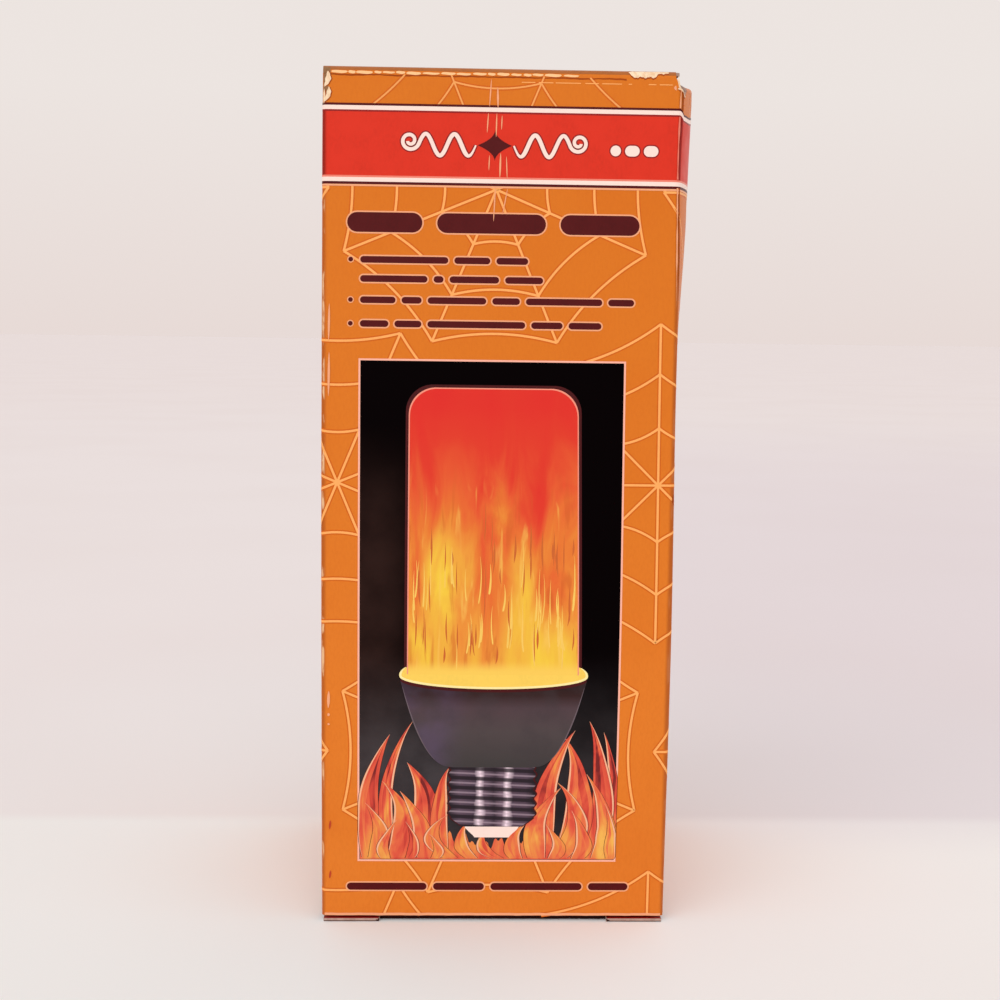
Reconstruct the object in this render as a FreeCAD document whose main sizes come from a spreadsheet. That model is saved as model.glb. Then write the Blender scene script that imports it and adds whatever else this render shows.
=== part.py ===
import FreeCAD, Part
import math
import os

import Sketcher
from FreeCAD import Placement, Rotation, Vector

# A folding carton with a tuck-in lid at each end, closed, in millimetres.
# The front faces -Y, +Z is up, and the origin is the middle of the base on the ground.
# The top lid is hinged on the front panel and tucks in at the back.
# The bottom lid is hinged on the back panel and tucks in at the front.

DOC = FreeCAD.newDocument("folding_carton")

# Driving sizes
SIZES = {
    "width": 68.0,  # across the front, outside
    "depth": 68.0,  # front to back, outside
    "height": 166.0,  # ground to the top of the top lid's crease
    "board": 0.6,  # thickness of the cartonboard
    "crease_radius": 0.9,  # outside radius of a fold
    "hinge_radius": 1.4,  # outside radius of the worn crease that a lid turns on
    "lid_gap": 0.4,  # lid's end to the side panel's outer face
    "lid_crown": 1.0,  # rise of the bowed top lid
    "ear_proud": 0.5,  # how far a lid's ears stand out past the panel they close on
    "edge_gap": 0.4,  # a lid's ears to the cut edge of that panel
    "slit": 11.0,  # length of a locking slit, from the lid's end
    "slit_gap": 0.8,  # opening of the slit under the ear
    "tuck": 15.0,  # length of a tuck flap
    "tuck_inset": 1.2,  # lid's end to the tuck flap's side
    "tuck_corner": 9.0,  # corner radius of a tuck flap
    "tuck_gap": 0.3,  # running clearance of a tuck flap behind its panel
    "dust": 28.0,  # length of a dust flap
    "dust_gap": 0.6,  # a lid's inner face to the dust flaps
    "dust_shoulder": 2.5,  # set-back of a dust flap's side at its crease
    "dust_taper": 4.0,  # how far its side slopes in by the tip
    "dust_corner": 5.0,  # corner radius at its tip
    "glue": 13.0,  # width of the glued inner flap
    "glue_slope": 6.0,  # how far the glued flap's ends slope
    "seam": 1.3,  # side panel's cut edge to the back face
    "tear_width": 1.3,  # torn top corner, across the front
    "tear_height": 3.4,  # torn top corner, down the front
    "tear_depth": 2.4,  # torn top corner, along the side
}

SHEET = DOC.addObject("Spreadsheet::Sheet", "sizes")
for row, (alias, number) in enumerate(SIZES.items(), start=1):
    SHEET.set(f"A{row}", alias)
    SHEET.set(f"B{row}", str(number))
    SHEET.setAlias(f"B{row}", alias)
DOC.recompute()

# Sizes that follow from the driving ones
HALF_X = "(sizes.width / 2)"
HALF_Y = "(sizes.depth / 2)"
HALF_Z = "(sizes.height / 2)"
PANEL_END = f"({HALF_Z} - sizes.board - sizes.edge_gap)"
SIDE_END = f"({HALF_Z} - sizes.board - sizes.dust_gap)"
HINGE_START = f"({HALF_Z} - sizes.hinge_radius)"
LID_FRONT = f"(sizes.hinge_radius - {HALF_Y})"
LID_BACK = f"({HALF_Y} + sizes.ear_proud)"
LID_MIDDLE = "((sizes.hinge_radius + sizes.ear_proud) / 2)"
LID_REACH = f"({LID_BACK} - {LID_MIDDLE})"
INNER_RADIUS = "(sizes.crease_radius - sizes.board)"
LID_HALF = f"({HALF_X} - sizes.lid_gap)"
FOLD_HALF = f"({LID_HALF} - sizes.slit)"
TUCK_HALF = f"({LID_HALF} - sizes.tuck_inset)"
DUST_HALF = f"({HALF_Y} - sizes.dust_shoulder)"
DUST_TIP_HALF = f"({DUST_HALF} - sizes.dust_taper)"
# A lid's hinge line to its tuck flap's outer face
REACH = "(sizes.depth - sizes.board - sizes.tuck_gap)"
# The tuck flap leans in just enough for its tip to swing past the panel
LEAN = f"(asin((sizes.tuck + sizes.crease_radius) / (2 * {REACH})))"
FOLD_Y = f"({REACH} - {HALF_Y} - sizes.crease_radius)"
BOW_RADIUS = f"(({LID_REACH} ^ 2 + sizes.lid_crown ^ 2) / (2 * sizes.lid_crown))"
BOW_DROP = f"({BOW_RADIUS} - sqrt({BOW_RADIUS} ^ 2 - ({FOLD_Y} - {LID_MIDDLE}) ^ 2))"
BOW_AT_FOLD = f"(sizes.lid_crown - {BOW_DROP})"
PAST = "1.0"  # how far a cutting outline runs past the board


def value(expression):
    """The number that an expression on the sheet gives now."""
    found = SHEET.evalExpression(expression)
    return float(getattr(found, "Value", found))


def new_body(label):
    """An empty body; its label names its file."""
    body = DOC.addObject("PartDesign::Body", label)
    body.Label = label
    return body


def new_sketch(body, name, role, lift=None):
    """A sketch on one of the body's own planes, lifted along the plane's normal."""
    sketch = body.newObject("Sketcher::SketchObject", name)
    plane = next(p for p in body.Origin.OriginFeatures if p.Role == role)
    sketch.AttachmentSupport = [(plane, "")]
    sketch.MapMode = "FlatFace"
    if lift:
        sketch.setExpression("AttachmentOffset.Base.z", lift)
    return sketch


def bind(sketch, constraint, expression):
    """Adds a constraint whose size is an expression on the sheet."""
    number = sketch.addConstraint(constraint)
    sketch.setExpression(f"Constraints[{number}]", expression)


def pin(sketch, curve, end, x, y):
    """Ties a point of a curve to its place from the sketch's origin."""
    bind(sketch, Sketcher.Constraint("DistanceX", -1, 1, curve, end, value(x)), x)
    bind(sketch, Sketcher.Constraint("DistanceY", -1, 1, curve, end, value(y)), y)


def add_outline(sketch, corners):
    """A closed outline of straight sides. A corner is (x, y), or (x, y, radius) if it is round."""
    count = len(corners)
    spots = [Vector(value(corner[0]), value(corner[1]), 0) for corner in corners]
    trims, centres = [], []
    for index, corner in enumerate(corners):
        radius = value(corner[2]) if len(corner) == 3 else 0.0
        back = (spots[index - 1] - spots[index]).normalize()
        ahead = (spots[(index + 1) % count] - spots[index]).normalize()
        half = back.getAngle(ahead) / 2
        trim = radius / math.tan(half)
        trims.append((spots[index] + back * trim, spots[index] + ahead * trim))
        centres.append(spots[index] + (back + ahead).normalize() * (radius / math.sin(half)))
    sides = [
        sketch.addGeometry(Part.LineSegment(trims[i][1], trims[(i + 1) % count][0]), False)
        for i in range(count)
    ]
    for index, corner in enumerate(corners):
        before, after = sides[index - 1], sides[index]
        if len(corner) == 2:
            sketch.addConstraint(Sketcher.Constraint("Coincident", before, 2, after, 1))
            pin(sketch, after, 1, *corner)
            continue
        arc, start, end = add_arc(sketch, centres[index], *trims[index])
        sketch.addConstraint(Sketcher.Constraint("Tangent", before, 2, arc, start))
        sketch.addConstraint(Sketcher.Constraint("Tangent", arc, end, after, 1))
        bind(sketch, Sketcher.Constraint("Radius", arc, value(corner[2])), corner[2])
        tip = sketch.addGeometry(Part.Point(spots[index]), True)
        pin(sketch, tip, 1, *corner[:2])
        sketch.addConstraint(Sketcher.Constraint("PointOnObject", tip, 1, before))
        sketch.addConstraint(Sketcher.Constraint("PointOnObject", tip, 1, after))


def add_arc(sketch, centre, first, last):
    """The shorter arc between two points about a centre, and the ends where the two points lie."""
    from_first, from_last = first - centre, last - centre
    turns_left = from_first.cross(from_last).z > 0
    start, end = (from_first, from_last) if turns_left else (from_last, from_first)
    circle = Part.Circle(centre, Vector(0, 0, 1), start.Length)
    low, high = math.atan2(start.y, start.x), math.atan2(end.y, end.x)
    if high < low:
        high += 2 * math.pi
    arc = sketch.addGeometry(Part.ArcOfCircle(circle, low, high), False)
    return (arc, 1, 2) if turns_left else (arc, 2, 1)


def add_fold(sketch, x, y, first, last, outer_radius="sizes.crease_radius"):
    """The section of a fold: a sector of a ring of board between two directions, in degrees."""
    centre = Vector(value(x), value(y), 0)
    arcs = []
    for radius in (outer_radius, f"({outer_radius} - sizes.board)"):
        ends = [
            centre + Vector(math.cos(angle), math.sin(angle), 0) * value(radius)
            for angle in (math.radians(value(first)), math.radians(value(last)))
        ]
        arc, start, end = add_arc(sketch, centre, *ends)
        bind(sketch, Sketcher.Constraint("Radius", arc, value(radius)), radius)
        arcs.append((arc, (start, end), ends))
    (outer, outer_ends, outer_points), (inner, inner_ends, inner_points) = arcs
    pin(sketch, outer, 3, x, y)
    sketch.addConstraint(Sketcher.Constraint("Coincident", inner, 3, outer, 3))
    for index, angle in enumerate((first, last)):
        line = Part.LineSegment(inner_points[index], outer_points[index])
        side = sketch.addGeometry(line, False)
        joins = ((1, inner, inner_ends[index]), (2, outer, outer_ends[index]))
        for end, arc, arc_end in joins:
            sketch.addConstraint(Sketcher.Constraint("Coincident", side, end, arc, arc_end))
        turned = Sketcher.Constraint("Angle", side, math.radians(value(angle)))
        bind(sketch, turned, angle)
        sketch.addConstraint(Sketcher.Constraint("PointOnObject", outer, 3, side))


def add_bow(sketch):
    """The section of the bowed lid: two like arcs, one board apart, from hinge to ears."""
    arcs = []
    for rise in ("sizes.board", "0 * sizes.board"):
        radius, low = value(BOW_RADIUS), value(rise)
        ends = [Vector(value(place), low, 0) for place in (LID_BACK, LID_FRONT)]
        centre = Vector(value(LID_MIDDLE), low + value("sizes.lid_crown") - radius, 0)
        arc, start, end = add_arc(sketch, centre, *ends)
        pin(sketch, arc, start, LID_BACK, rise)
        pin(sketch, arc, end, LID_FRONT, rise)
        bind(sketch, Sketcher.Constraint("Radius", arc, radius), BOW_RADIUS)
        arcs.append((arc, (start, end), ends))
    (upper, upper_ends, upper_points), (lower, lower_ends, lower_points) = arcs
    for index in range(2):
        line = Part.LineSegment(lower_points[index], upper_points[index])
        side = sketch.addGeometry(line, False)
        joins = ((1, lower, lower_ends[index]), (2, upper, upper_ends[index]))
        for end, arc, arc_end in joins:
            sketch.addConstraint(Sketcher.Constraint("Coincident", side, end, arc, arc_end))


def extrude(body, kind, sketch, length=None, symmetric=False, reverse=False):
    """A Pad or Pocket of a sketch; with no length a Pocket runs through everything, both ways."""
    feature = body.newObject(f"PartDesign::{kind}", f"{sketch.Name}_{kind.lower()}")
    feature.Profile = sketch
    feature.Midplane = symmetric
    feature.Reversed = reverse
    if length:
        feature.setExpression("Length", length)
    else:
        feature.Type = "ThroughAll"
        feature.Midplane = True
    before = 0.0 if body.Shape.isNull() else body.Shape.Volume
    DOC.recompute()
    after = feature.Shape.Volume
    if (after > before) != (kind == "Pad"):
        raise RuntimeError(f"{feature.Name} doesn't change the board as it should")
    return feature


def build_sleeve():
    """The folded and glued sheet: four panels, the glued flap and the four dust flaps."""
    sleeve = new_body("carton_sleeve")
    sleeve.setExpression("Placement.Base.z", "sizes.height / 2")

    # The four panels, with the glued flap along the back left corner
    rim, board, radius = HALF_Y, "sizes.board", "sizes.crease_radius"
    panels = new_sketch(sleeve, "panels", "XY_Plane")
    add_outline(
        panels,
        [
            (f"-{HALF_X}", f"-{rim}", radius),
            (HALF_X, f"-{rim}", radius),
            (HALF_X, rim, radius),
            (f"-{HALF_X} + {board}", rim, radius),
            (f"-{HALF_X} + {board}", f"{rim} - sizes.seam"),
            (f"-{HALF_X}", f"{rim} - sizes.seam"),
        ],
    )
    add_outline(
        panels,
        [
            (f"-{HALF_X} + {board}", f"-{rim} + {board}", INNER_RADIUS),
            (f"{HALF_X} - {board}", f"-{rim} + {board}", INNER_RADIUS),
            (f"{HALF_X} - {board}", f"{rim} - {board}", INNER_RADIUS),
            (f"-{HALF_X} + 2 * {board}", f"{rim} - {board}", INNER_RADIUS),
            (f"-{HALF_X} + 2 * {board}", f"{rim} - sizes.glue"),
            (f"-{HALF_X} + {board}", f"{rim} - sizes.glue"),
        ],
    )
    extrude(sleeve, "Pad", panels, f"2 * {PANEL_END}", symmetric=True)

    # The side panels stop where their dust flaps fold in, and the front panel at the top
    # and the back panel at the bottom stop where their lids' creases begin
    relief = new_sketch(sleeve, "crease_relief", "YZ_Plane")
    reach, past = f"({rim} - {radius})", f"({HALF_Z} + {PAST})"
    for sign, turned in (("", "-"), ("-", "")):
        corners = [
            (f"{turned}({rim} + {PAST})", f"{sign}{HINGE_START}"),
            (f"{turned}{reach}", f"{sign}{HINGE_START}"),
            (f"{turned}{reach}", f"{sign}({SIDE_END} - {radius})"),
            (f"{sign}{reach}", f"{sign}({SIDE_END} - {radius})"),
            (f"{sign}{reach}", f"{sign}{past}"),
            (f"{turned}({rim} + {PAST})", f"{sign}{past}"),
        ]
        add_outline(relief, corners)
    extrude(sleeve, "Pocket", relief)

    # The worn creases that the two lids turn on
    hinges = new_sketch(sleeve, "lid_creases", "YZ_Plane")
    for sign, turned, first in (("", "-", 90), ("-", "", 270)):
        y, z = f"{turned}({rim} - sizes.hinge_radius)", f"{sign}{HINGE_START}"
        add_fold(hinges, y, z, f"{first}", f"{first + 90}", "sizes.hinge_radius")
    extrude(sleeve, "Pad", hinges, f"2 * {LID_HALF}", symmetric=True)

    # The glued flap's ends slope away from its crease
    slopes = new_sketch(sleeve, "glue_slopes", "YZ_Plane", lift=f"-{HALF_X} + {board}")
    for sign in ("", "-"):
        edge, start = f"{rim} - sizes.glue", f"({SIDE_END} - {radius})"
        corners = [
            (edge, f"{sign}({start} - sizes.glue_slope)"),
            (f"{rim} - sizes.seam", f"{sign}{start}"),
            (f"{rim} - sizes.seam", f"{sign}{past}"),
            (edge, f"{sign}{past}"),
        ]
        add_outline(slopes, corners)
    extrude(sleeve, "Pocket", slopes, board, reverse=True)

    # The folds of the dust flaps, then the flaps
    folds = new_sketch(sleeve, "dust_folds", "XZ_Plane")
    for across, up, first in (("", "", 0), ("-", "", 90), ("-", "-", 180), ("", "-", 270)):
        x = f"{across}({HALF_X} - {radius})"
        y = f"{up}({SIDE_END} - {radius})"
        add_fold(folds, x, y, f"{first}", f"{first + 90}")
    extrude(sleeve, "Pad", folds, f"2 * {DUST_HALF}", symmetric=True)
    for end, lift in (("top", f"{SIDE_END} - {board}"), ("bottom", f"-{SIDE_END}")):
        flaps = new_sketch(sleeve, f"dust_flaps_{end}", "XY_Plane", lift=lift)
        for sign in ("", "-"):
            crease = f"{sign}({HALF_X} - {radius})"
            tip = f"{sign}({HALF_X} - sizes.dust)"
            corners = [
                (crease, f"-{DUST_HALF}"),
                (crease, DUST_HALF),
                (tip, DUST_TIP_HALF, "sizes.dust_corner"),
                (tip, f"-{DUST_TIP_HALF}", "sizes.dust_corner"),
            ]
            add_outline(flaps, corners)
        extrude(sleeve, "Pad", flaps, board)

    # The torn corner at the top right of the front
    tear = new_sketch(sleeve, "torn_corner", "XZ_Plane", lift=HALF_Y)
    corners = [
        (f"{HALF_X} - sizes.tear_width", past),
        (f"{HALF_X} - sizes.tear_width * 0.9", f"{HALF_Z} - sizes.tear_height * 0.35"),
        (f"{HALF_X} - sizes.tear_width * 0.5", f"{HALF_Z} - sizes.tear_height * 0.55"),
        (f"{HALF_X} - sizes.tear_width * 0.3", f"{HALF_Z} - sizes.tear_height"),
        (f"{HALF_X} + {PAST}", f"{HALF_Z} - sizes.tear_height"),
        (f"{HALF_X} + {PAST}", past),
    ]
    add_outline(tear, corners)
    extrude(sleeve, "Pocket", tear, "sizes.tear_depth")
    return sleeve


def build_lid(label, bowed):
    """A lid with its ears, fold and tuck flap, lying flat with its inner face at z = 0."""
    lid = new_body(label)
    board, radius = "sizes.board", "sizes.crease_radius"
    fold_top = f"({board} + {BOW_AT_FOLD})" if bowed else board

    # The panel, from its hinge to the ears' ends
    panel = new_sketch(lid, f"{label}_panel", "YZ_Plane")
    if bowed:
        add_bow(panel)
    else:
        corners = [(LID_FRONT, "0"), (LID_BACK, "0"), (LID_BACK, board), (LID_FRONT, board)]
        add_outline(panel, corners)
    extrude(lid, "Pad", panel, f"2 * {LID_HALF}", symmetric=True)

    # Between the ears the panel stops where the tuck flap folds down
    recess = new_sketch(lid, f"{label}_recess", "XY_Plane")
    back = f"{LID_BACK} + {PAST}"
    corners = [
        (f"-{FOLD_HALF}", FOLD_Y),
        (FOLD_HALF, FOLD_Y),
        (FOLD_HALF, back),
        (f"-{FOLD_HALF}", back),
    ]
    add_outline(recess, corners)
    extrude(lid, "Pocket", recess)
    fold = new_sketch(lid, f"{label}_fold", "YZ_Plane")
    add_fold(fold, FOLD_Y, f"{fold_top} - {radius}", f"-{LEAN}", "90")
    extrude(lid, "Pad", fold, f"2 * {FOLD_HALF}", symmetric=True)

    # The tuck flap leans in, and its wings end under the slits
    tuck = new_sketch(lid, f"{label}_tuck", "XZ_Plane")
    tuck.AttachmentOffset = Placement(Vector(), Rotation(Vector(-1, 0, 0), value(LEAN)))
    tuck.setExpression("AttachmentOffset.Rotation.Angle", LEAN)
    tuck.setExpression("AttachmentOffset.Base.y", f"{fold_top} - {radius} - {radius} * sin({LEAN})")
    tuck.setExpression("AttachmentOffset.Base.z", f"-({FOLD_Y} + {radius} * cos({LEAN}))")
    corners = [
        (f"-{FOLD_HALF}", "0"),
        (FOLD_HALF, "0"),
        (FOLD_HALF, "-sizes.slit_gap"),
        (TUCK_HALF, "-sizes.slit_gap"),
        (TUCK_HALF, "-sizes.tuck", "sizes.tuck_corner"),
        (f"-{TUCK_HALF}", "-sizes.tuck", "sizes.tuck_corner"),
        (f"-{TUCK_HALF}", "-sizes.slit_gap"),
        (f"-{FOLD_HALF}", "-sizes.slit_gap"),
    ]
    add_outline(tuck, corners)
    extrude(lid, "Pad", tuck, board)
    return lid


def build_top_lid():
    """The bowed lid on the front panel, its right hinge corner torn off."""
    lid = build_lid("top_lid", bowed=True)
    lid.setExpression("Placement.Base.z", "sizes.height - sizes.board")
    tear = new_sketch(lid, "top_lid_tear", "XY_Plane")
    corners = [
        (f"{HALF_X} - sizes.tear_width", f"-{HALF_Y} - {PAST}"),
        (f"{HALF_X} + {PAST}", f"-{HALF_Y} - {PAST}"),
        (f"{HALF_X} + {PAST}", f"-{HALF_Y} + sizes.tear_depth"),
        (f"{HALF_X} - sizes.tear_width * 0.6", f"-{HALF_Y} + sizes.tear_depth * 0.5"),
    ]
    add_outline(tear, corners)
    extrude(lid, "Pocket", tear)
    return lid


def build_bottom_lid():
    """The flat lid on the back panel, turned over so that its outer face is the base."""
    lid = build_lid("bottom_lid", bowed=False)
    lid.Placement = Placement(Vector(), Rotation(Vector(1, 0, 0), 180))
    lid.setExpression("Placement.Base.z", "sizes.board")
    return lid


def check(bodies):
    """Stops on a failed object or on a piece that isn't one valid solid."""
    for thing in DOC.Objects:
        if {"Invalid", "Error"} & set(thing.State):
            raise RuntimeError(f"{thing.Name}: {thing.State}")
    for body in bodies:
        shape = body.Shape
        if shape.isNull() or not shape.isValid() or len(shape.Solids) != 1:
            raise RuntimeError(f"{body.Label} isn't one valid solid")


BODIES = [build_sleeve(), build_top_lid(), build_bottom_lid()]
DOC.recompute()
check(BODIES)
os.makedirs("parts", exist_ok=True)
for body in BODIES:
    body.Shape.exportStep(f"parts/{body.Label}.step")
    box = body.Shape.BoundBox
    corners = [round(v, 2) for v in (box.XMin, box.YMin, box.ZMin, box.XMax, box.YMax, box.ZMax)]
    print(body.Label, "volume", round(body.Shape.Volume, 1), "box", corners)
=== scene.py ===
import logging
import math
from dataclasses import dataclass, field
from enum import Enum
from typing import Callable, Iterable, Sequence

import bpy
import numpy as np
from mathutils import Matrix, Vector


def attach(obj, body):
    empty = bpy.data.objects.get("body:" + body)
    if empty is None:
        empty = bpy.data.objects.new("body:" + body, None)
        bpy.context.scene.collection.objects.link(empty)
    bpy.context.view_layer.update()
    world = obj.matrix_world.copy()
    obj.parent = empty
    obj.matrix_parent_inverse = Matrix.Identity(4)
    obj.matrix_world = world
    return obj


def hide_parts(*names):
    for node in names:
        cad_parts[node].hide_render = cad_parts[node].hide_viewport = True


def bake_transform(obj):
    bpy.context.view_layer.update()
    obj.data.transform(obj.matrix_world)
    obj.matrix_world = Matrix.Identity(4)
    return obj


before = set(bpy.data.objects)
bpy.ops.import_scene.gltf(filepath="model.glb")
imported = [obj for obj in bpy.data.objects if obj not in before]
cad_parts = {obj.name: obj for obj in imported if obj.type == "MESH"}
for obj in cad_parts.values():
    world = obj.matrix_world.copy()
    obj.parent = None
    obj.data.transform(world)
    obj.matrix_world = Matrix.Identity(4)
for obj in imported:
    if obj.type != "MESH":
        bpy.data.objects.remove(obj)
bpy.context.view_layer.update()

# The closed folding carton: board sheets, their print and their wear, on a pale floor.
# Lengths are millimetres until a mesh is made. x runs along the front, y to the back, z up.
# "s" runs round the sleeve along its outer face, with 0 at the middle of the front.

log = logging.getLogger("folding_carton")
Array = np.ndarray
Values = Array | float
Surface = Callable[[Array, Array, float], Array]
Pair = tuple[float, float]
Colour = tuple[float, float, float]
Tone = tuple[int, int, int]
Material = bpy.types.Material
Object = bpy.types.Object
Socket = bpy.types.NodeSocket
MM = 0.001
# Points less than this apart, in millimetres, are joined into one.
MERGE_CELL = 0.0002
SHARP_ANGLE = math.radians(35.0)
GLOW_SEED, WEAR_SEED = 12, 13
SIDES = (-1.0, 1.0)


def linear(red: int, green: int, blue: int) -> Colour:
    """Turns a display colour into the linear one that shaders use.

    Args:
        red, green, blue: the display colour, 0 to 255.

    Returns:
        The linear colour: ((c + 0.055) / 1.055) ^ 2.4, or c / 12.92 near black.
    """
    parts = np.array([red, green, blue]) / 255.0
    parts = np.where(parts > 0.04045, ((parts + 0.055) / 1.055) ** 2.4, parts / 12.92)
    return tuple(float(part) for part in parts)


def smooth_step(value: Array, low: float, high: float) -> Array:
    """The cubic step 3t^2 - 2t^3, 0 at low and 1 at high."""
    share = np.clip((np.asarray(value, float) - low) / (high - low), 0.0, 1.0)
    return share * share * (3.0 - 2.0 * share)


def hump(value: Array, middle: float, spread: float) -> Array:
    """The bell exp(-((v - middle) / spread)^2)."""
    return np.exp(-(((np.asarray(value, float) - middle) / spread) ** 2))


def within(value: Array, limits: Pair) -> Array:
    """True where a value lies between two limits."""
    return (value > limits[0]) & (value < limits[1])


def placed(name: str, data: bpy.types.ID) -> Object:
    """A new object with its data, linked into the scene.

    Args:
        name, data: the object's name and its mesh, light or camera.

    Returns:
        The object.
    """
    made = bpy.data.objects.new(name, data)
    bpy.context.scene.collection.objects.link(made)
    return made


@dataclass(frozen=True)
class Path:
    """A chain of straight runs and tangent arcs: each run is (length, bend in degrees)."""

    start: Pair
    heading: float
    runs: tuple[Pair, ...]

    def lengths(self) -> Array:
        """The distance along the path at which each run starts, and the whole length."""
        return np.concatenate([[0.0], np.cumsum([run[0] for run in self.runs])])

    def at(self, distance: Array) -> tuple[Array, Array]:
        """Places points along the path.

        A run that bends evenly by b over its length goes t * sinc(b t / 2) along the mean of
        its first and last headings, which holds for straight runs too.

        Args:
            distance: how far along the path each point lies.

        Returns:
            The points (.., 2) and the unit normals to their right (.., 2).
        """
        marks = self.lengths()
        bends = np.radians([run[1] for run in self.runs])
        curving = bends / np.diff(marks)
        headings = math.radians(self.heading) + np.concatenate([[0.0], np.cumsum(bends)])
        steps = self._chord(np.diff(marks), curving, headings[:-1])
        origins = np.array(self.start) + np.concatenate([[[0.0, 0.0]], np.cumsum(steps, axis=0)])
        run = np.clip(np.searchsorted(marks, distance, side="right") - 1, 0, len(bends) - 1)
        along = distance - marks[run]
        points = origins[run] + self._chord(along, curving[run], headings[run])
        facing = headings[run] + curving[run] * along
        return points, np.stack([np.sin(facing), -np.cos(facing)], axis=-1)

    @staticmethod
    def _chord(along: Array, curving: Array, heading: Array) -> Array:
        """The chord of an evenly bending run, as a vector.

        Args:
            along: the length of the run.
            curving: its bend per length.
            heading: its first heading, in radians.

        Returns:
            The vectors (.., 2).
        """
        half = curving * along / 2.0
        reach = along * np.sinc(half / math.pi)
        facing = heading + half
        return np.stack([reach * np.cos(facing), reach * np.sin(facing)], axis=-1)


@dataclass(frozen=True)
class Form:
    """The sizes of the folded board, as the frame has them."""

    half_width: float = 34.0
    half_depth: float = 34.0
    height: float = 166.0
    board: float = 0.6
    crease: float = 0.9
    hinge: float = 1.4
    seam: float = 1.3
    glue: float = 13.0
    lid_half: float = 33.6
    slit: float = 11.0
    slit_gap: float = 0.8
    ear_proud: float = 0.5
    tuck: float = 15.0
    tuck_half: float = 32.4
    tuck_corner: float = 9.0
    fold_at: float = 32.2
    lean: float = 6.8
    dust_half: float = 31.5
    dust_tip_half: float = 27.5
    dust_tip: float = 6.0
    dust_corner: float = 5.0
    cut_edge: float = 1.0
    side_top: float = 164.8

    @property
    def flat(self) -> float:
        """Half of a panel's flat width, between its creases."""
        return self.half_width - self.crease

    @property
    def bend(self) -> float:
        """The outer length of a vertical crease, a quarter turn."""
        return self.crease * math.pi / 2.0

    @property
    def hinge_start(self) -> float:
        """The height at which the front panel bends into the top lid's crease."""
        return self.height - self.hinge

    @property
    def hinge_bend(self) -> float:
        """The outer length of a lid's crease, a quarter turn."""
        return self.hinge * math.pi / 2.0


FORM = Form()


@dataclass(frozen=True)
class Bulge:
    """How the standing carton departs from flat panels, in millimetres."""

    flare: float = 3.75
    flare_up: Pair = (92.0, 150.0)
    flare_across: Pair = (12.0, FORM.half_width)
    skew: float = 1.6
    left: float = 0.25
    right: float = 0.45
    right_bell: Pair = (52.0, 46.0)
    pinch: float = 0.4
    pinch_bell: Pair = (146.0, 11.0)
    front: float = 0.35
    back: float = 0.5
    crush: float = 1.3
    crush_across: Pair = (31.0, 33.6)
    crush_in: Pair = (-34.0, -33.0)
    crush_out: Pair = (-30.0, -20.0)
    crush_up: Pair = (148.0, 164.0)

    def apply(self, points: Array) -> Array:
        """Moves points as the board bulges.

        The right side bows out as sin(pi w) over its depth u, with w = (1 + k) u / (1 + k u)
        so that it is fullest before the middle. It grows over the heights of flare_up. The
        creases bow as sin(pi z / height) or as bells in z. The right side's front top corner
        is crushed down a little.

        Args:
            points: (.., 3) places on the flat-sided carton.

        Returns:
            The places on the bulging carton.
        """
        x, y, z = points[..., 0], points[..., 1], points[..., 2]
        depth = np.clip((y + FORM.half_depth) / (2.0 * FORM.half_depth), 0.0, 1.0)
        rise = np.sin(np.pi * np.clip(z / FORM.height, 0.0, 1.0))
        to_right = np.clip(x / FORM.half_width, 0.0, 1.0)
        to_left = np.clip(-x / FORM.half_width, 0.0, 1.0)
        flare = self.flare * smooth_step(z, *self.flare_up)
        skewed = (1.0 + self.skew) * depth / (1.0 + self.skew * depth)
        out = flare * np.sin(np.pi * skewed) * smooth_step(x, *self.flare_across)
        out = out + to_right * rise**0.5 * self.right * hump(z, *self.right_bell)
        out = out - to_right * self.pinch * hump(z, *self.pinch_bell)
        out = out - to_left * self.left * rise
        across = np.cos(np.pi * np.clip(x / (2.0 * FORM.half_width), -0.5, 0.5))
        to_front = np.clip(-y / FORM.half_depth, 0.0, 1.0)
        to_back = np.clip(y / FORM.half_depth, 0.0, 1.0)
        push = rise * across * (self.back * to_back - self.front * to_front)
        corner = smooth_step(x, *self.crush_across) * smooth_step(y, *self.crush_in)
        corner = corner * (1.0 - smooth_step(y, *self.crush_out))
        sink = self.crush * corner * smooth_step(z, *self.crush_up)
        return np.stack([x + out, y + push, z - sink], axis=-1)


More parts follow.
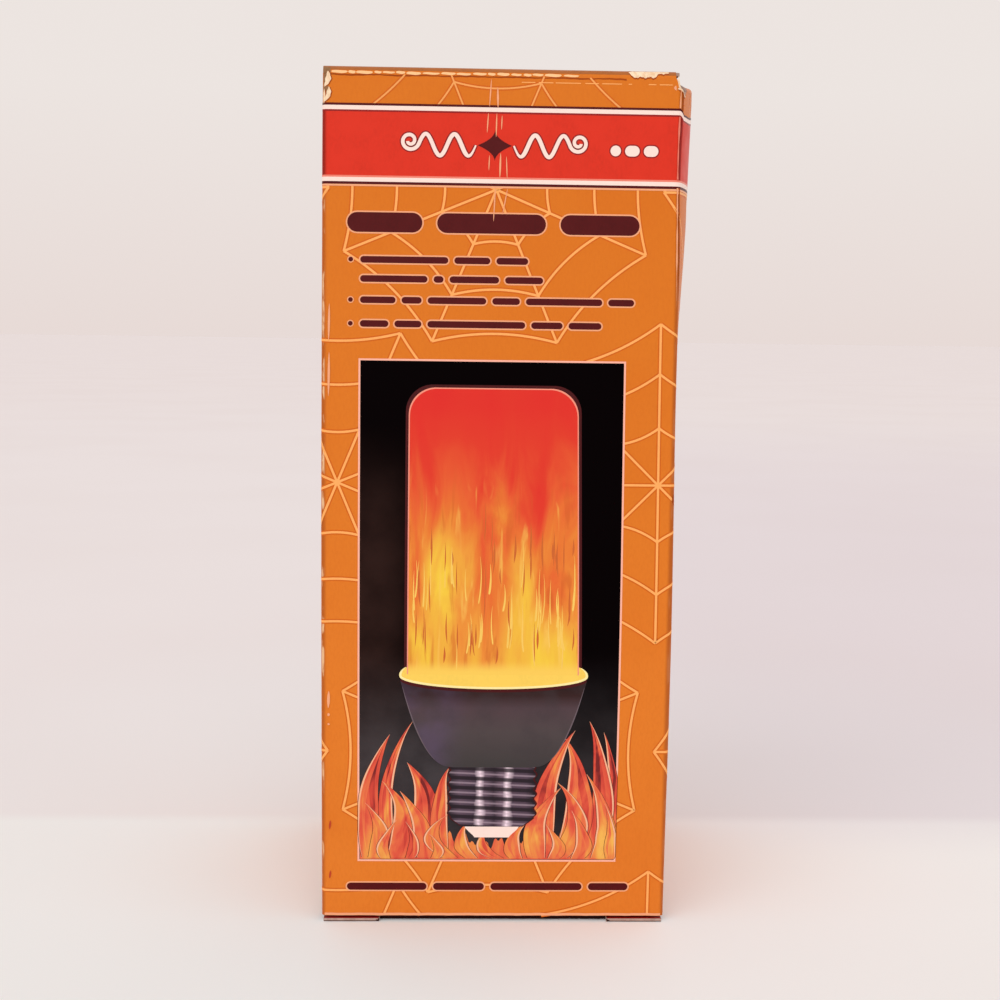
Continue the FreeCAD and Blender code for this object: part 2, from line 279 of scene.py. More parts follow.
class SleeveSheet:
    """The sheet that is folded and glued into four panels."""

    column_width: float = 2.0
    beside_crease: tuple[float, ...] = (0.03, 0.06, 0.12, 0.25, 0.5, 0.9, 1.5)
    rounding: float = 0.001

    def __init__(self, bulge: Bulge) -> None:
        """Lays the path round the sleeve, from the left panel's cut edge to the glued flap.

        Args:
            bulge: how the standing carton departs from flat panels.
        """
        self.bulge = bulge
        flat, bend, corner = 2.0 * FORM.flat, FORM.bend, 90.0
        left = FORM.flat + FORM.half_depth - FORM.seam
        back = flat - FORM.board
        flap = FORM.glue - FORM.crease
        runs = ((left, 0.0), (bend, corner), (flat, 0.0), (bend, corner), (flat, 0.0))
        runs += ((bend, corner), (back, 0.0), (bend, corner), (flap, 0.0))
        start = (-FORM.half_width, FORM.half_depth - FORM.seam)
        self.path = Path(start, -90.0, runs)
        self.marks = self.path.lengths() - left - bend - FORM.flat

    @property
    def cut_edge(self) -> float:
        """Where the left panel's cut edge lies along the sheet."""
        return float(self.marks[0])

    @property
    def print_end(self) -> float:
        """Where the print ends along the sheet, past the last crease."""
        return float(self.marks[8])

    def columns(self, first: float, last: float) -> Array:
        """Places from first to last, a column apart on the panels and close beside creases.

        Args:
            first, last: the ends of the stretch.

        Returns:
            The places, rising.
        """
        near = np.array(self.beside_crease)
        places = [self.marks]
        for low, high in zip(self.marks[:-1], self.marks[1:]):
            steps = max(8, round((high - low) / self.column_width))
            places.append(np.linspace(low, high, steps + 1))
        for mark in self.marks[1:-1]:
            places += [mark - near, mark + near]
        joined = np.unique(np.round(np.concatenate(places), 3))
        return joined[within(joined, (first - self.rounding, last + self.rounding))]

    def at(self, along: Array, up: Array, depth: float) -> Array:
        """A point of the sheet: s along it, a height, and a depth under its outer face.

        Args:
            along, up: places along the sheet and heights.
            depth: how far under the print.

        Returns:
            The points (.., 3).
        """
        along, up = np.broadcast_arrays(np.asarray(along, float), np.asarray(up, float))
        points, normals = self.path.at(along - self.marks[0])
        flat = points - normals * depth
        return self.bulge.apply(np.concatenate([flat, up[..., None]], axis=-1))


class TurnedSheet:
    """A sheet at the top, or turned over under the carton, that follows a section."""

    under: bool

    def place(self, path: Path, across: Array, along: Array, depth: float) -> Array:
        """Puts a point of a section into space, on the top or turned over.

        Args:
            path: the section, as y and z.
            across, along: places across the sheet and along its section.
            depth: how far under the print.

        Returns:
            The points (.., 3).
        """
        across, along = np.broadcast_arrays(np.asarray(across, float), np.asarray(along, float))
        points, normals = path.at(along)
        section = points + normals * depth
        y, z = section[..., 0], section[..., 1]
        if self.under:
            y, z = -y, FORM.height - z
        return np.stack([across, y, z], axis=-1)


class LidSheet(TurnedSheet):
    """A lid's sheet: a panel with a low crown, a fold and a leaning tuck flap."""

    def __init__(self, crown: float, under: bool) -> None:
        """Lays the lid's section.

        Args:
            crown: how far the panel bows up.
            under: True for the bottom lid, which is the same sheet turned over.
        """
        self.under = under
        first = FORM.hinge - FORM.half_depth
        last = FORM.half_depth + FORM.ear_proud
        reach = (last - first) / 2.0
        tilt = math.degrees(2.0 * math.atan2(crown, reach))
        radius = (reach * reach + crown * crown) / (2.0 * crown) if crown else 0.0
        to_fold = FORM.fold_at - first
        self.panel = to_fold
        turned = 0.0
        if crown:
            turned = math.degrees(math.asin((to_fold - reach) / radius)) + tilt
            self.panel = radius * math.radians(turned)
        self.ears = self.panel + last - FORM.fold_at
        closing = 90.0 + FORM.lean + tilt - turned
        self.fold = FORM.crease * math.radians(closing)
        start = (first, FORM.height)
        runs = ((self.panel, -turned), (self.fold, -closing), (FORM.tuck, 0.0))
        self.path = Path(start, tilt, runs)
        ear_turn = -turned * (self.ears / self.panel)
        self.ear_path = Path(start, tilt, ((self.ears, ear_turn),))

    def at(self, across: Array, along: Array, depth: float) -> Array:
        """A point of the panel, fold and tuck flap."""
        return self.place(self.path, across, along, depth)

    def ear_at(self, across: Array, along: Array, depth: float) -> Array:
        """A point of the panel and its ears, which run on past the fold."""
        return self.place(self.ear_path, across, along, depth)


class FoldSheet(TurnedSheet):
    """The worn crease between a lid and the panel that carries it."""

    run_up: float = 20.0

    def __init__(self, under: bool) -> None:
        """Lays the quarter turn; under is True for the crease at the back's lower edge.

        Args:
            under: True for the crease at the back's lower edge.
        """
        self.under = under
        start = (-FORM.half_depth, FORM.hinge_start - self.run_up)
        flat = (self.run_up, 0.0)
        self.path = Path(start, 90.0, (flat, (FORM.hinge_bend, -90.0), flat))

    def at(self, across: Array, along: Array, depth: float) -> Array:
        """A point of the crease: before 0 it lies on the panel, past the bend on the lid."""
        return self.place(self.path, across, np.asarray(along, float) + self.run_up, depth)


@dataclass
class Shell:
    """Points, four-sided faces and each face's material, gathered for one piece."""

    points: list[Array] = field(default_factory=list)
    faces: list[Array] = field(default_factory=list)
    slots: list[Array] = field(default_factory=list)
    count: int = 0

    def add(self, points: Array, faces: Array, slot: int = 0) -> None:
        """Adds points and the faces between them, all of one material.

        Args:
            points: (.., 3) places.
            faces: (n, 4) indices of these points.
            slot: the faces' material.
        """
        self.points.append(points.reshape(-1, 3))
        self.faces.append(faces + self.count)
        self.slots.append(np.full(len(faces), slot))
        self.count += len(self.points[-1])

    def slab(
        self,
        surface: Surface,
        first: Array,
        second: Array,
        top: float = 0.0,
        bottom: float = FORM.board,
        slots: tuple[int, int, int] = (0, 1, 2),
    ) -> None:
        """Adds a closed sheet between two depths of a surface.

        The outer face is the surface at the upper depth, the inner one the same grid at the
        lower depth, and four strips close the rim. All faces are turned round if the outer
        ones would look inwards.

        Args:
            surface: gives points from two grids of parameters and a depth.
            first, second: the two grids, of one shape.
            top, bottom: the two depths under the surface.
            slots: the materials of the outer face, the inner face and the rim.
        """
        rows, columns = first.shape
        index = np.arange(rows * columns).reshape(rows, columns)
        a, b = index[:-1, :-1].ravel(), index[1:, :-1].ravel()
        c, d = index[1:, 1:].ravel(), index[:-1, 1:].ravel()
        outer = surface(first, second, top).reshape(-1, 3)
        inner = surface(first, second, bottom).reshape(-1, 3)
        facing = np.cross(outer[c] - outer[a], outer[d] - outer[b])
        turn = 1 if np.sum(facing * (outer[a] - inner[a])) > 0.0 else -1
        self.add(outer, np.stack([a, b, c, d], axis=1)[:, ::turn], slots[0])
        self.add(inner, np.stack([d, c, b, a], axis=1)[:, ::turn], slots[1])
        loop = np.concatenate([index[:, 0], index[-1, 1:], index[-2::-1, -1], index[0, -2:0:-1]])
        rim = np.concatenate([outer[loop], inner[loop]])
        low = np.arange(len(loop))
        high = np.roll(low, -1)
        rim_faces = np.stack([high, low, low + len(loop), high + len(loop)], axis=1)
        self.add(rim, rim_faces[:, ::turn], slots[2])

    @staticmethod
    def cleaned(faces: Array, slots: Array) -> tuple[list[list[int]], Array]:
        """Joins slabs that meet, and mends faces whose points have merged.

        Where two slabs meet, both have a face with the same four points, and the pair goes.
        A face with one merged side becomes a triangle, and one with two goes.

        Args:
            faces: (n, 4) indices of points.
            slots: each face's material.

        Returns:
            The faces that stay, and their materials.
        """
        _, first, times = np.unique(np.sort(faces, axis=1), axis=0, return_inverse=True,
                                    return_counts=True)
        alone = times[first.reshape(-1)] == 1
        faces, slots = faces[alone], slots[alone]
        merged = faces == np.roll(faces, -1, axis=1)
        count = merged.sum(axis=1)
        folded = count == 1
        triangles = faces[folded][~merged[folded]].reshape(-1, 3)
        kept = faces[count == 0].tolist() + triangles.tolist()
        return kept, np.concatenate([slots[count == 0], slots[folded]])

    def build(self, name: str, materials: Sequence[Material]) -> Object:
        """Makes the piece's object.

        Args:
            name: the piece's name.
            materials: the materials that the slots count from.

        Returns:
            The new object at the origin, its place in its mesh.
        """
        points = np.concatenate(self.points) * MM
        faces = np.concatenate(self.faces)
        rounded = np.round(points / (MERGE_CELL * MM)).astype(np.int64)
        _, keep, merged = np.unique(rounded, axis=0, return_index=True, return_inverse=True)
        faces, slots = self.cleaned(merged.reshape(-1)[faces], np.concatenate(self.slots))
        mesh = bpy.data.meshes.new(name)
        mesh.from_pydata(points[keep].tolist(), [], faces)
        mesh.polygons.foreach_set("material_index", slots.astype(np.int32))
        mesh.polygons.foreach_set("use_smooth", np.ones(len(faces), bool))
        mesh.set_sharp_from_angle(angle=SHARP_ANGLE)
        for material in materials:
            mesh.materials.append(material)
        mesh.validate()
        mesh.update()
        return placed(name, mesh)


def drawn_in(past: Array, corner: float) -> Array:
    """How far a round corner draws an outline in, at each length past the corner's start."""
    share = np.clip(past / corner, 0.0, 1.0)
    return corner * (1.0 - np.sqrt(1.0 - share**2))


def spans(*marks: tuple[float, float, int]) -> Array:
    """Joins evenly spaced stretches, each (from, to, steps), into one rising row of values."""
    parts = [np.linspace(low, high, steps, endpoint=False) for low, high, steps in marks]
    return np.concatenate([*parts, [marks[-1][1]]])


def even(count: int) -> Array:
    """Evenly spaced values from 0 to 1."""
    return np.linspace(0.0, 1.0, count)


def between(low: Values, high: Values, shares: Array,
            rows: Array) -> tuple[Array, Array]:
    """A grid whose rows run from low to high.

    Args:
        low, high: the ends of each row, or of all rows.
        shares: where the columns lie between the ends, 0 to 1.
        rows: each row's own value.

    Returns:
        The grid low + share * (high - low), and the rows' values spread over it.
    """
    low, high = np.broadcast_to(low, rows.shape), np.broadcast_to(high, rows.shape)
    grid = low[:, None] + shares[None, :] * (high - low)[:, None]
    return grid, np.broadcast_to(rows[:, None], grid.shape)


class Bench:
    """Adds and joins the nodes of one material."""

    def __init__(self, name: str, roughness: float, specular: float) -> None:
        """Starts a material with a plain shader of a roughness and a specular level.

        Args:
            name: the material's name.
            roughness, specular: the shader's own fixed values.
        """
        self.material = bpy.data.materials.new(name)
        self.material.use_nodes = True
        self.tree = self.material.node_tree
        self.shader = self.tree.nodes["Principled BSDF"]
        self.shader.inputs["Roughness"].default_value = roughness
        self.shader.inputs["Specular IOR Level"].default_value = specular
        self.place = self.node("ShaderNodeTexCoord").outputs["Object"]

    def node(self, kind: str, **settings: object) -> bpy.types.Node:
        """A new node with its settings.

        Args:
            kind: the node's type.
            settings: attributes to set on it.

        Returns:
            The node.
        """
        made = self.tree.nodes.new(kind)
        for name, setting in settings.items():
            setattr(made, name, setting)
        return made

    def feed(self, socket: Socket, source: object) -> None:
        """Links a source into a socket, or sets the socket to a fixed value.

        Args:
            socket: where it goes.
            source: a link, a colour or a number.
        """
        if isinstance(source, Socket):
            self.tree.links.new(source, socket)
        elif isinstance(source, tuple) and socket.type == "RGBA":
            socket.default_value = (*source, 1.0)
        else:
            socket.default_value = source

    def step(self, kind: str, inputs: dict, output: str | int = 0, **settings: object) -> Socket:
        """Adds a node, feeds it and gives one of its outputs.

        Args:
            kind: the node's type.
            inputs: what goes into its sockets, by their names or numbers.
            output: the name or number of the output.
            settings: attributes to set on it.

        Returns:
            The output.
        """
        made = self.node(kind, **settings)
        for name, source in inputs.items():
            self.feed(made.inputs[name], source)
        return made.outputs[output]

    def noise(self, scale: float, stretch: Colour = (1.0, 1.0, 1.0), detail: float = 3.0,
              distortion: float = 0.0) -> Socket:
        """A cloud pattern on the piece's own coordinates, scaled per metre.

        Args:
            scale: how fine the clouds are.
            stretch: the scale of each axis.
            detail, distortion: how rough and how swirled they are.

        Returns:
            The clouds, 0 to 1.
        """
        place = self.step("ShaderNodeMapping", {"Vector": self.place, "Scale": stretch})
        return self.step("ShaderNodeTexNoise", {"Vector": place, "Scale": scale, "Detail": detail,
                                                "Distortion": distortion}, "Fac")

    def sums(self, operation: str, *values: object) -> Socket:
        """One step of arithmetic on links and numbers."""
        return self.step("ShaderNodeMath", dict(enumerate(values)), operation=operation)

    def times(self, first: object, second: object) -> Socket:
        """The product of two values."""
        return self.sums("MULTIPLY", first, second)

    def plus(self, first: object, second: object) -> Socket:
        """The sum of two values."""
        return self.sums("ADD", first, second)

    def away(self, value: object, middle: float) -> Socket:
        """A value less a fixed one."""
        return self.sums("SUBTRACT", value, middle)

    def axis(self, index: int) -> Socket:
        """One of the piece's own coordinates, in metres."""
        return self.step("ShaderNodeSeparateXYZ", {0: self.place}, index)

    def crease_distance(self) -> Socket:
        """The smaller of |x| and |y|, which nears half the carton's width at its creases."""
        return self.sums("MINIMUM", *(self.sums("ABSOLUTE", self.axis(axis)) for axis in (0, 1)))

    def spread(self, source: object, low: float, high: float, least: float = 0.0,
               most: float = 1.0, kind: str = "SMOOTHSTEP") -> Socket:
        """Carries a value over to another range, clamped at both ends.

        Args:
            source: the value.
            low, high: the range it comes from.
            least, most: the range it goes to.
            kind: how it runs between the ends.

        Returns:
            The carried value.
        """
        ends = {"From Min": low, "From Max": high, "To Min": least, "To Max": most}
        return self.step("ShaderNodeMapRange", {"Value": source, **ends}, "Result",
                         interpolation_type=kind)

    def mix(self, share: object, first: object, second: object, blend: str = "MIX") -> Socket:
        """Mixes the second of two colours into the first by a share."""
        return self.step("ShaderNodeMix", {0: share, 6: first, 7: second}, 2, data_type="RGBA",
                         blend_type=blend)

    def tint(self, tone: object, colour: Tone, source: object, low: float, high: float,
             most: float = 1.0) -> Socket:
        """Mixes a display colour into a tone, the more the nearer a value is to high."""
        return self.mix(self.spread(source, low, high, 0.0, most), tone, linear(*colour))

    def ramp(self, source: object, *stops: tuple[float, Tone]) -> Socket:
        """Colours a value by a row of places and display colours.

        Args:
            source: the value.
            stops: places from 0 to 1 with their colours, rising.

        Returns:
            The colour.
        """
        made = self.node("ShaderNodeValToRGB")
        marks = made.color_ramp.elements
        for index, (place, colour) in enumerate(stops):
            mark = marks[index] if index < 2 else marks.new(place)
            mark.position, mark.color = place, (*linear(*colour), 1.0)
        self.feed(made.inputs[0], source)
        return made.outputs["Color"]

    def relief(self, height: object, strength: float, depth: float) -> None:
        """Gives the surface a fine relief of a strength and of a depth in metres."""
        bump = {"Strength": strength, "Distance": depth, "Height": height}
        self.feed(self.shader.inputs["Normal"], self.step("ShaderNodeBump", bump, "Normal"))

    def finish(self, colour: object, roughness: object = None) -> Material:
        """Links the colour, and the roughness where it varies.

        Args:
            colour: the base colour.
            roughness: the varying roughness, if it varies.

        Returns:
            The finished material.
        """
        self.feed(self.shader.inputs["Base Color"], colour)
        if roughness is not None:
            self.feed(self.shader.inputs["Roughness"], roughness)
        return self.material


# Where the print is painted darker as crease shade, and where it is worn to board, by the smaller
# of |x| and |y| in metres.
PAINTED_CREASE_SHADE: Pair = (0.0330, 0.0338)
CREASE_BARE: Pair = (0.0334, 0.0339)


@dataclass(frozen=True)
class Ink:
    """A printed colour under the varnish, a little uneven as ink on board is."""

    name: str
    colour: Tone
    deeper: float = 0.86
    roughness: float = 0.34
    specular: float = 0.25
    # How much the ink is painted darker towards the creases, as shade.
    crease_darkening: float = 0.0

    def material(self) -> Material:
        """The ink: darker by a cloud pattern, painted darker at the creases as shade where that is
        set, with the board's grain.

        Returns:
            The material.
        """
        bench = Bench(self.name, self.roughness, self.specular)
        full = linear(*self.colour)
        dark = tuple(part * self.deeper for part in full)
        cloud = bench.noise(260.0, detail=4.0)
        grain = bench.noise(2600.0, (1.0, 1.0, 0.5), detail=2.0)
        share = bench.times(bench.spread(cloud, 0.3, 0.7), bench.spread(grain, 0.2, 0.8))
        tone = bench.mix(share, full, dark)
        # Painted shade: the ink darkens towards each crease.
        if self.crease_darkening:
            edge = bench.spread(bench.crease_distance(), *PAINTED_CREASE_SHADE, 0.0, self.crease_darkening)
            tone = bench.mix(edge, tone, tuple(part * 0.28 for part in full))
        bench.relief(grain, 0.12, 0.00004)
        shine = bench.spread(cloud, 0.25, 0.75, self.roughness - 0.04, self.roughness + 0.07)
        return bench.finish(tone, shine)


@dataclass(frozen=True)
class PrintedBoard:
    """The orange print outside, worn to pale board along the upright creases and painted darker
    towards them as shade.
    """

    name: str = "orange_print"
    low: Tone = (228, 126, 38)
    high: Tone = (220, 119, 24)
    bare: Tone = (246, 206, 160)
    # Whether the creases get worn specks and painted shade.
    crease_wear_and_shade: bool = True

    def material(self) -> Material:
        """The print, warmer low down and browner up high as painted shade, with painted shade and
        worn board at the creases.

        Returns:
            The material.
        """
        bench = Bench(self.name, 0.36, 0.16)
        z = bench.axis(2)
        # Painted shade: the print turns browner towards the top, where less light falls.
        tone = bench.mix(bench.spread(z, 0.01, 0.16), linear(*self.low), linear(*self.high))
        cloud = bench.noise(38.0, detail=5.0)
        tone = bench.tint(tone, (214, 106, 18), cloud, 0.42, 0.72, 0.3)
        grain = bench.noise(2400.0, (1.0, 1.0, 0.45), detail=2.0)
        tone = bench.tint(tone, (204, 98, 18), grain, 0.35, 0.75, 0.15)
        if self.crease_wear_and_shade:
            inner = bench.crease_distance()
            # Painted shade: the print darkens towards each crease, where the board turns from the
            # light.
            tone = bench.tint(tone, (158, 74, 22), inner, *PAINTED_CREASE_SHADE, 0.66)
            speck = bench.noise(420.0, (1.0, 1.0, 0.35), detail=6.0)
            edge = bench.times(bench.spread(inner, *CREASE_BARE),
                               bench.spread(bench.axis(0), 0.01, -0.01, 0.1, 1.0))
            worn = bench.times(edge, bench.spread(speck, 0.52, 0.62))
            tone = bench.mix(worn, tone, linear(*self.bare))
        shine = bench.spread(cloud, 0.3, 0.7, 0.3, 0.42)
        bench.relief(bench.plus(grain, bench.times(cloud, 2.0)), 0.15, 0.00005)
        return bench.finish(tone, shine)


@dataclass(frozen=True)
class PlainBoard:
    """Uncoated grey-brown board, with short fibres."""

    name: str
    colour: Tone
    deeper: Tone
    fibre: float = 900.0

    def material(self) -> Material:
        """The board: two tones by long clouds and short fibres, and a felt-like relief.

        Returns:
            The material.
        """
        bench = Bench(self.name, 0.82, 0.25)
        fibres = bench.noise(self.fibre, (1.0, 1.0, 0.3), detail=6.0, distortion=0.6)
        cloud = bench.noise(60.0, detail=4.0)
        tone = bench.tint(linear(*self.colour), self.deeper, fibres, 0.35, 0.7)
        tone = bench.tint(tone, self.deeper, cloud, 0.4, 0.7, 0.3)
        bench.relief(fibres, 0.35, 0.00008)
        return bench.finish(tone)


@dataclass(frozen=True)
class SmokePrint:
    """The picture's black ground, smoky grey low down and browner along its left side."""

    name: str = "smoke_print"

    def material(self) -> Material:
        """Black, mixed with grey by height and with brown by the place across, in clouds.

        Returns:
            The material.
        """
        bench = Bench(self.name, 0.36, 0.02)
        x, z = bench.axis(0), bench.axis(2)
        cloud = bench.spread(bench.noise(120.0, detail=5.0), 0.3, 0.7, 0.55, 1.0)
        left = bench.times(bench.spread(x, -0.012, -0.024), bench.spread(z, 0.100, 0.075))
        tone = bench.mix(bench.times(left, cloud), linear(4, 0, 1), linear(46, 29, 26))
        low = bench.times(bench.spread(z, 0.056, 0.028), cloud)
        low = bench.times(low, bench.spread(x, 0.020, -0.020, 0.5, 1.0))
        return bench.finish(bench.mix(low, tone, linear(70, 65, 68)))


@dataclass(frozen=True)
class GlowPrint:
    """The pictured diffuser: red at its top, through orange to yellow flames at its foot."""

    name: str = "glow_print"
    foot: float = 0.050
    head: float = 0.106
    columns: tuple[tuple[float, float], ...] = ((-0.0113, 0.0042), (0.0050, 0.0038))

    def material(self) -> Material:
        """A heat by height, stirred by tall clouds, with two bright columns and fine streaks.

        Returns:
            The material.
        """
        bench = Bench(self.name, 0.34, 0.14)
        x, z = bench.axis(0), bench.axis(2)
        level = bench.spread(z, self.foot, self.head, kind="LINEAR")
        heat = bench.spread(level, 0.93, 0.05, 0.05, 0.79, "LINEAR")
        broad = bench.noise(150.0, (1.0, 1.0, 0.26), detail=4.0, distortion=0.9)
        stirred = bench.times(bench.away(broad, 0.5), bench.spread(level, 0.95, 0.5, 0.15, 1.2))
        heat = bench.plus(heat, stirred)
        tall = bench.times(bench.spread(level, 0.62, 0.38),
                           bench.spread(level, 0.03, 0.22, 0.4, 1.0))
        for middle, half in self.columns:
            beside = bench.sums("ABSOLUTE", bench.away(x, middle))
            column = bench.times(bench.spread(beside, half, half * 0.3, 0.0, 0.25), tall)
            heat = bench.plus(heat, column)
        tone = bench.ramp(heat, (0.0, (224, 42, 38)), (0.16, (225, 60, 40)),
                          (0.32, (230, 95, 48)), (0.48, (232, 123, 50)), (0.64, (237, 155, 60)),
                          (0.82, (241, 183, 64)), (1.0, (246, 206, 66)))
        streak = bench.noise(520.0, (1.0, 1.0, 0.12), detail=3.0, distortion=0.7)
        alive = bench.spread(level, 0.78, 0.5)
        for low, high, most, colour in ((0.44, 0.3, 0.5, (206, 92, 36)),
                                        (0.58, 0.72, 0.6, (248, 202, 96))):
            share = bench.times(bench.spread(streak, low, high, 0.0, most), alive)
            tone = bench.mix(share, tone, linear(*colour))
        foot, fringe = self.foot + 0.0002, self.foot + 0.0030
        return bench.finish(bench.tint(tone, (250, 208, 92), z, fringe, foot))


@dataclass(frozen=True)
class CollarPrint:
    """The pictured lamp's dark bowl, with a violet sheen low on its left."""

    name: str = "collar_print"

    def material(self) -> Material:
        """Tones by height, darkest under the rim, with a sheen by clouds and place.

        Returns:
            The material.
        """
        bench = Bench(self.name, 0.36, 0.15)
        x, z = bench.axis(0), bench.axis(2)
        level = bench.spread(z, 0.0312, 0.0494, kind="LINEAR")
        tone = bench.ramp(level, (0.0, (62, 58, 58)), (0.4, (78, 68, 70)), (0.66, (80, 62, 68)),
                          (0.80, (52, 28, 28)), (1.0, (20, 6, 6)))
        sheen = bench.times(bench.spread(x, -0.0045, -0.0125, 0.0, 0.6),
                            bench.spread(bench.noise(90.0, detail=4.0), 0.3, 0.65))
        tone = bench.mix(sheen, tone, linear(94, 76, 106))
        cloud = bench.noise(210.0, detail=4.0)
        return bench.finish(bench.tint(tone, (62, 54, 58), cloud, 0.4, 0.7, 0.4))


@dataclass(frozen=True)
class FirePrint:
    """The pictured fire: salmon and red high up, orange and yellow at its foot."""

    name: str
    warmth: float = 0.0

    def material(self) -> Material:
        """A row of flame colours by swirling clouds, lifted by warmth and towards the foot.

        Returns:
            The material.
        """
        bench = Bench(self.name, 0.36, 0.25)
        swirl = bench.noise(135.0, (1.3, 1.0, 0.5), detail=3.0, distortion=1.6)
        lift = bench.spread(bench.axis(2), 0.040, 0.012, self.warmth - 0.10, self.warmth + 0.06)
        return bench.finish(bench.ramp(
            bench.plus(swirl, lift), (0.22, (120, 26, 26)), (0.36, (206, 64, 50)),
            (0.48, (224, 86, 60)), (0.58, (232, 114, 68)), (0.68, (236, 142, 68)),
            (0.84, (244, 184, 84))))


@dataclass(frozen=True)
class MetalPrint:
    """The pictured screw base: dark chrome with two upright rows of highlights."""

    name: str = "screw_base_print"
    middle: float = -0.0005
    half: float = 0.0084
    pitch: float = 0.00196

    def material(self) -> Material:
        """Bands by the share across the base, darkened between the rings of its thread.

        Returns:
            The material.
        """
        bench = Bench(self.name, 0.3, 0.2)
        x, z = bench.axis(0), bench.axis(2)
        share = bench.spread(x, self.middle - self.half, self.middle + self.half, kind="LINEAR")
        wobble = bench.times(bench.away(bench.noise(300.0), 0.5), 0.1)
        tone = bench.ramp(
            bench.plus(share, wobble), (0.0, (28, 18, 26)), (0.12, (92, 74, 90)),
            (0.29, (74, 58, 74)), (0.35, (250, 228, 242)), (0.41, (110, 90, 106)),
            (0.52, (66, 50, 64)), (0.62, (120, 98, 114)), (0.67, (252, 230, 244)),
            (0.74, (86, 68, 84)), (0.9, (84, 66, 82)), (1.0, (24, 16, 22)))
        swing = bench.times(bench.away(x, self.middle), 0.045)
        turns = bench.sums("SINE", bench.times(bench.plus(z, swing), 2.0 * math.pi / self.pitch))
        tone = bench.tint(tone, (26, 14, 24), turns, 0.15, -0.75, 0.9)
        return bench.finish(bench.tint(tone, (190, 168, 184), turns, 0.72, 0.98, 0.4))


def mixed(name: str, colour: Tone, *look: float) -> Material:
    """The material of an ink, with its deeper share, roughness, specular level and painted crease
    shade.
    """
    return Ink(name, colour, *look).material()


class Finishes:
    """Every material of the carton, made once."""

    def __init__(self) -> None:
        """Makes the inks and boards."""
        self.outside = PrintedBoard().material()
        self.lid_outside = PrintedBoard("orange_lid_print", crease_wear_and_shade=False).material()
        self.inside = PlainBoard("plain_board", (176, 160, 142), (150, 134, 118)).material()
        self.raw = PlainBoard("raw_board_edge", (190, 162, 150), (168, 138, 126), 700.0).material()
        self.torn = PlainBoard("torn_board", (255, 232, 200), (236, 200, 160), 1500.0).material()
        self.crease_darkening = mixed("rubbed_print", (176, 102, 44), 0.8)
        self.shade = mixed("crease_shade", (166, 72, 12), 0.8, 0.34, 0.1)
        self.bare = mixed("bare_crease", (255, 204, 146), 0.93)
        self.soiled = mixed("soiled_corner", (150, 108, 70), 0.8, 0.6)
        self.web = mixed("web_ink", (255, 177, 98), 0.93)
        self.web_shade = mixed("web_shade_ink", (212, 102, 18), 0.93, 0.36, 0.16)
        self.web_faint = mixed("faint_web_ink", (246, 168, 92), 0.93)
        self.blush = mixed("blush_ink", (240, 132, 112), 0.93)
        # The red's last value paints it darker at the creases, as shade.
        self.red = mixed("red_ink", (223, 52, 32), 0.9, 0.34, 0.12, 0.85)
        self.deep_red = mixed("deep_red_ink", (150, 12, 8), 0.85)
        self.white = mixed("white_ink", (255, 230, 220), 0.96)
        self.maroon = mixed("maroon_ink", (84, 4, 8), 0.8, 0.34, 0.15)
        self.halo = mixed("halo_ink", (246, 172, 128), 0.94)
        self.pale_line = mixed("pale_line_ink", (255, 186, 164), 0.95)
        # Painted shadow: near-black ink for the bottom fold and ears, where shade falls under the
        # front.
        self.painted_shadow = mixed("painted_fold_shadow", (44, 8, 6), 0.7, 0.7, 0.1)
        self.rust = mixed("abrasion", (196, 62, 30), 0.8)
        self.black = SmokePrint().material()
        self.glow = GlowPrint().material()
        self.rim = mixed("rim_ink", (252, 212, 92), 0.93)
        self.rim_edge = mixed("rim_edge_ink", (255, 240, 168), 0.96)
        self.collar = CollarPrint().material()
        self.collar_edge = mixed("collar_edge_ink", (108, 94, 102), 0.8, 0.34, 0.15)
        self.metal = MetalPrint().material()
        self.fire_dark = mixed("fire_outline_ink", (74, 12, 16), 0.7, 0.34, 0.15)
        self.fire = FirePrint("fire_print").material()
        self.fire_warm = FirePrint("warm_fire_print", 0.08).material()
        self.fire_fold = FirePrint("dark_fire_print", -0.15).material()
        self.fire_core = FirePrint("bright_fire_print", 0.10).material()
        self.fire_edge = mixed("fire_edge_ink", (246, 186, 148), 0.92)
        self.glow_edge = mixed("glow_edge_ink", (246, 150, 128), 0.94)
        self.lick = mixed("lick_ink", (248, 205, 98), 0.94)
        self.ember = mixed("ember_ink", (206, 102, 40), 0.9)

    @property
    def sheet(self) -> tuple[Material, ...]:
        """The materials of a sheet of the sleeve: print, plain side, raw edge."""
        return self.outside, self.inside, self.raw

    @property
    def lid(self) -> tuple[Material, ...]:
        """The materials of a lid's sheet: print, plain side, raw edge."""
        return self.lid_outside, self.inside, self.raw


class Body(Enum):
    """The bodies of the frame, each with its material slot."""

    CARTON = ("carton", "printed_board")
    TOP = ("top_lid", "lid_board")
    BOTTOM = ("bottom_lid", "base_board")

    @property
    def label(self) -> str:
        """The body's name in the frame."""
        return self.value[0]

    @property
    def slot(self) -> str:
        """A material slot name kept with the body; no piece is given it here."""
        return self.value[1]


def settle(piece: Object, body: Body, *nodes: str) -> None:
    """Sets a piece on its body and the nodes it stands for.

    Args:
        piece: the object.
        body: what it rides on.
        nodes: the frame's nodes that it replaces.
    """
    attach(piece, body.label)
    if nodes:
        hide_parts(*nodes)
    log.info("%s rides on %s with %d faces", piece.name, body.label, len(piece.data.polygons))


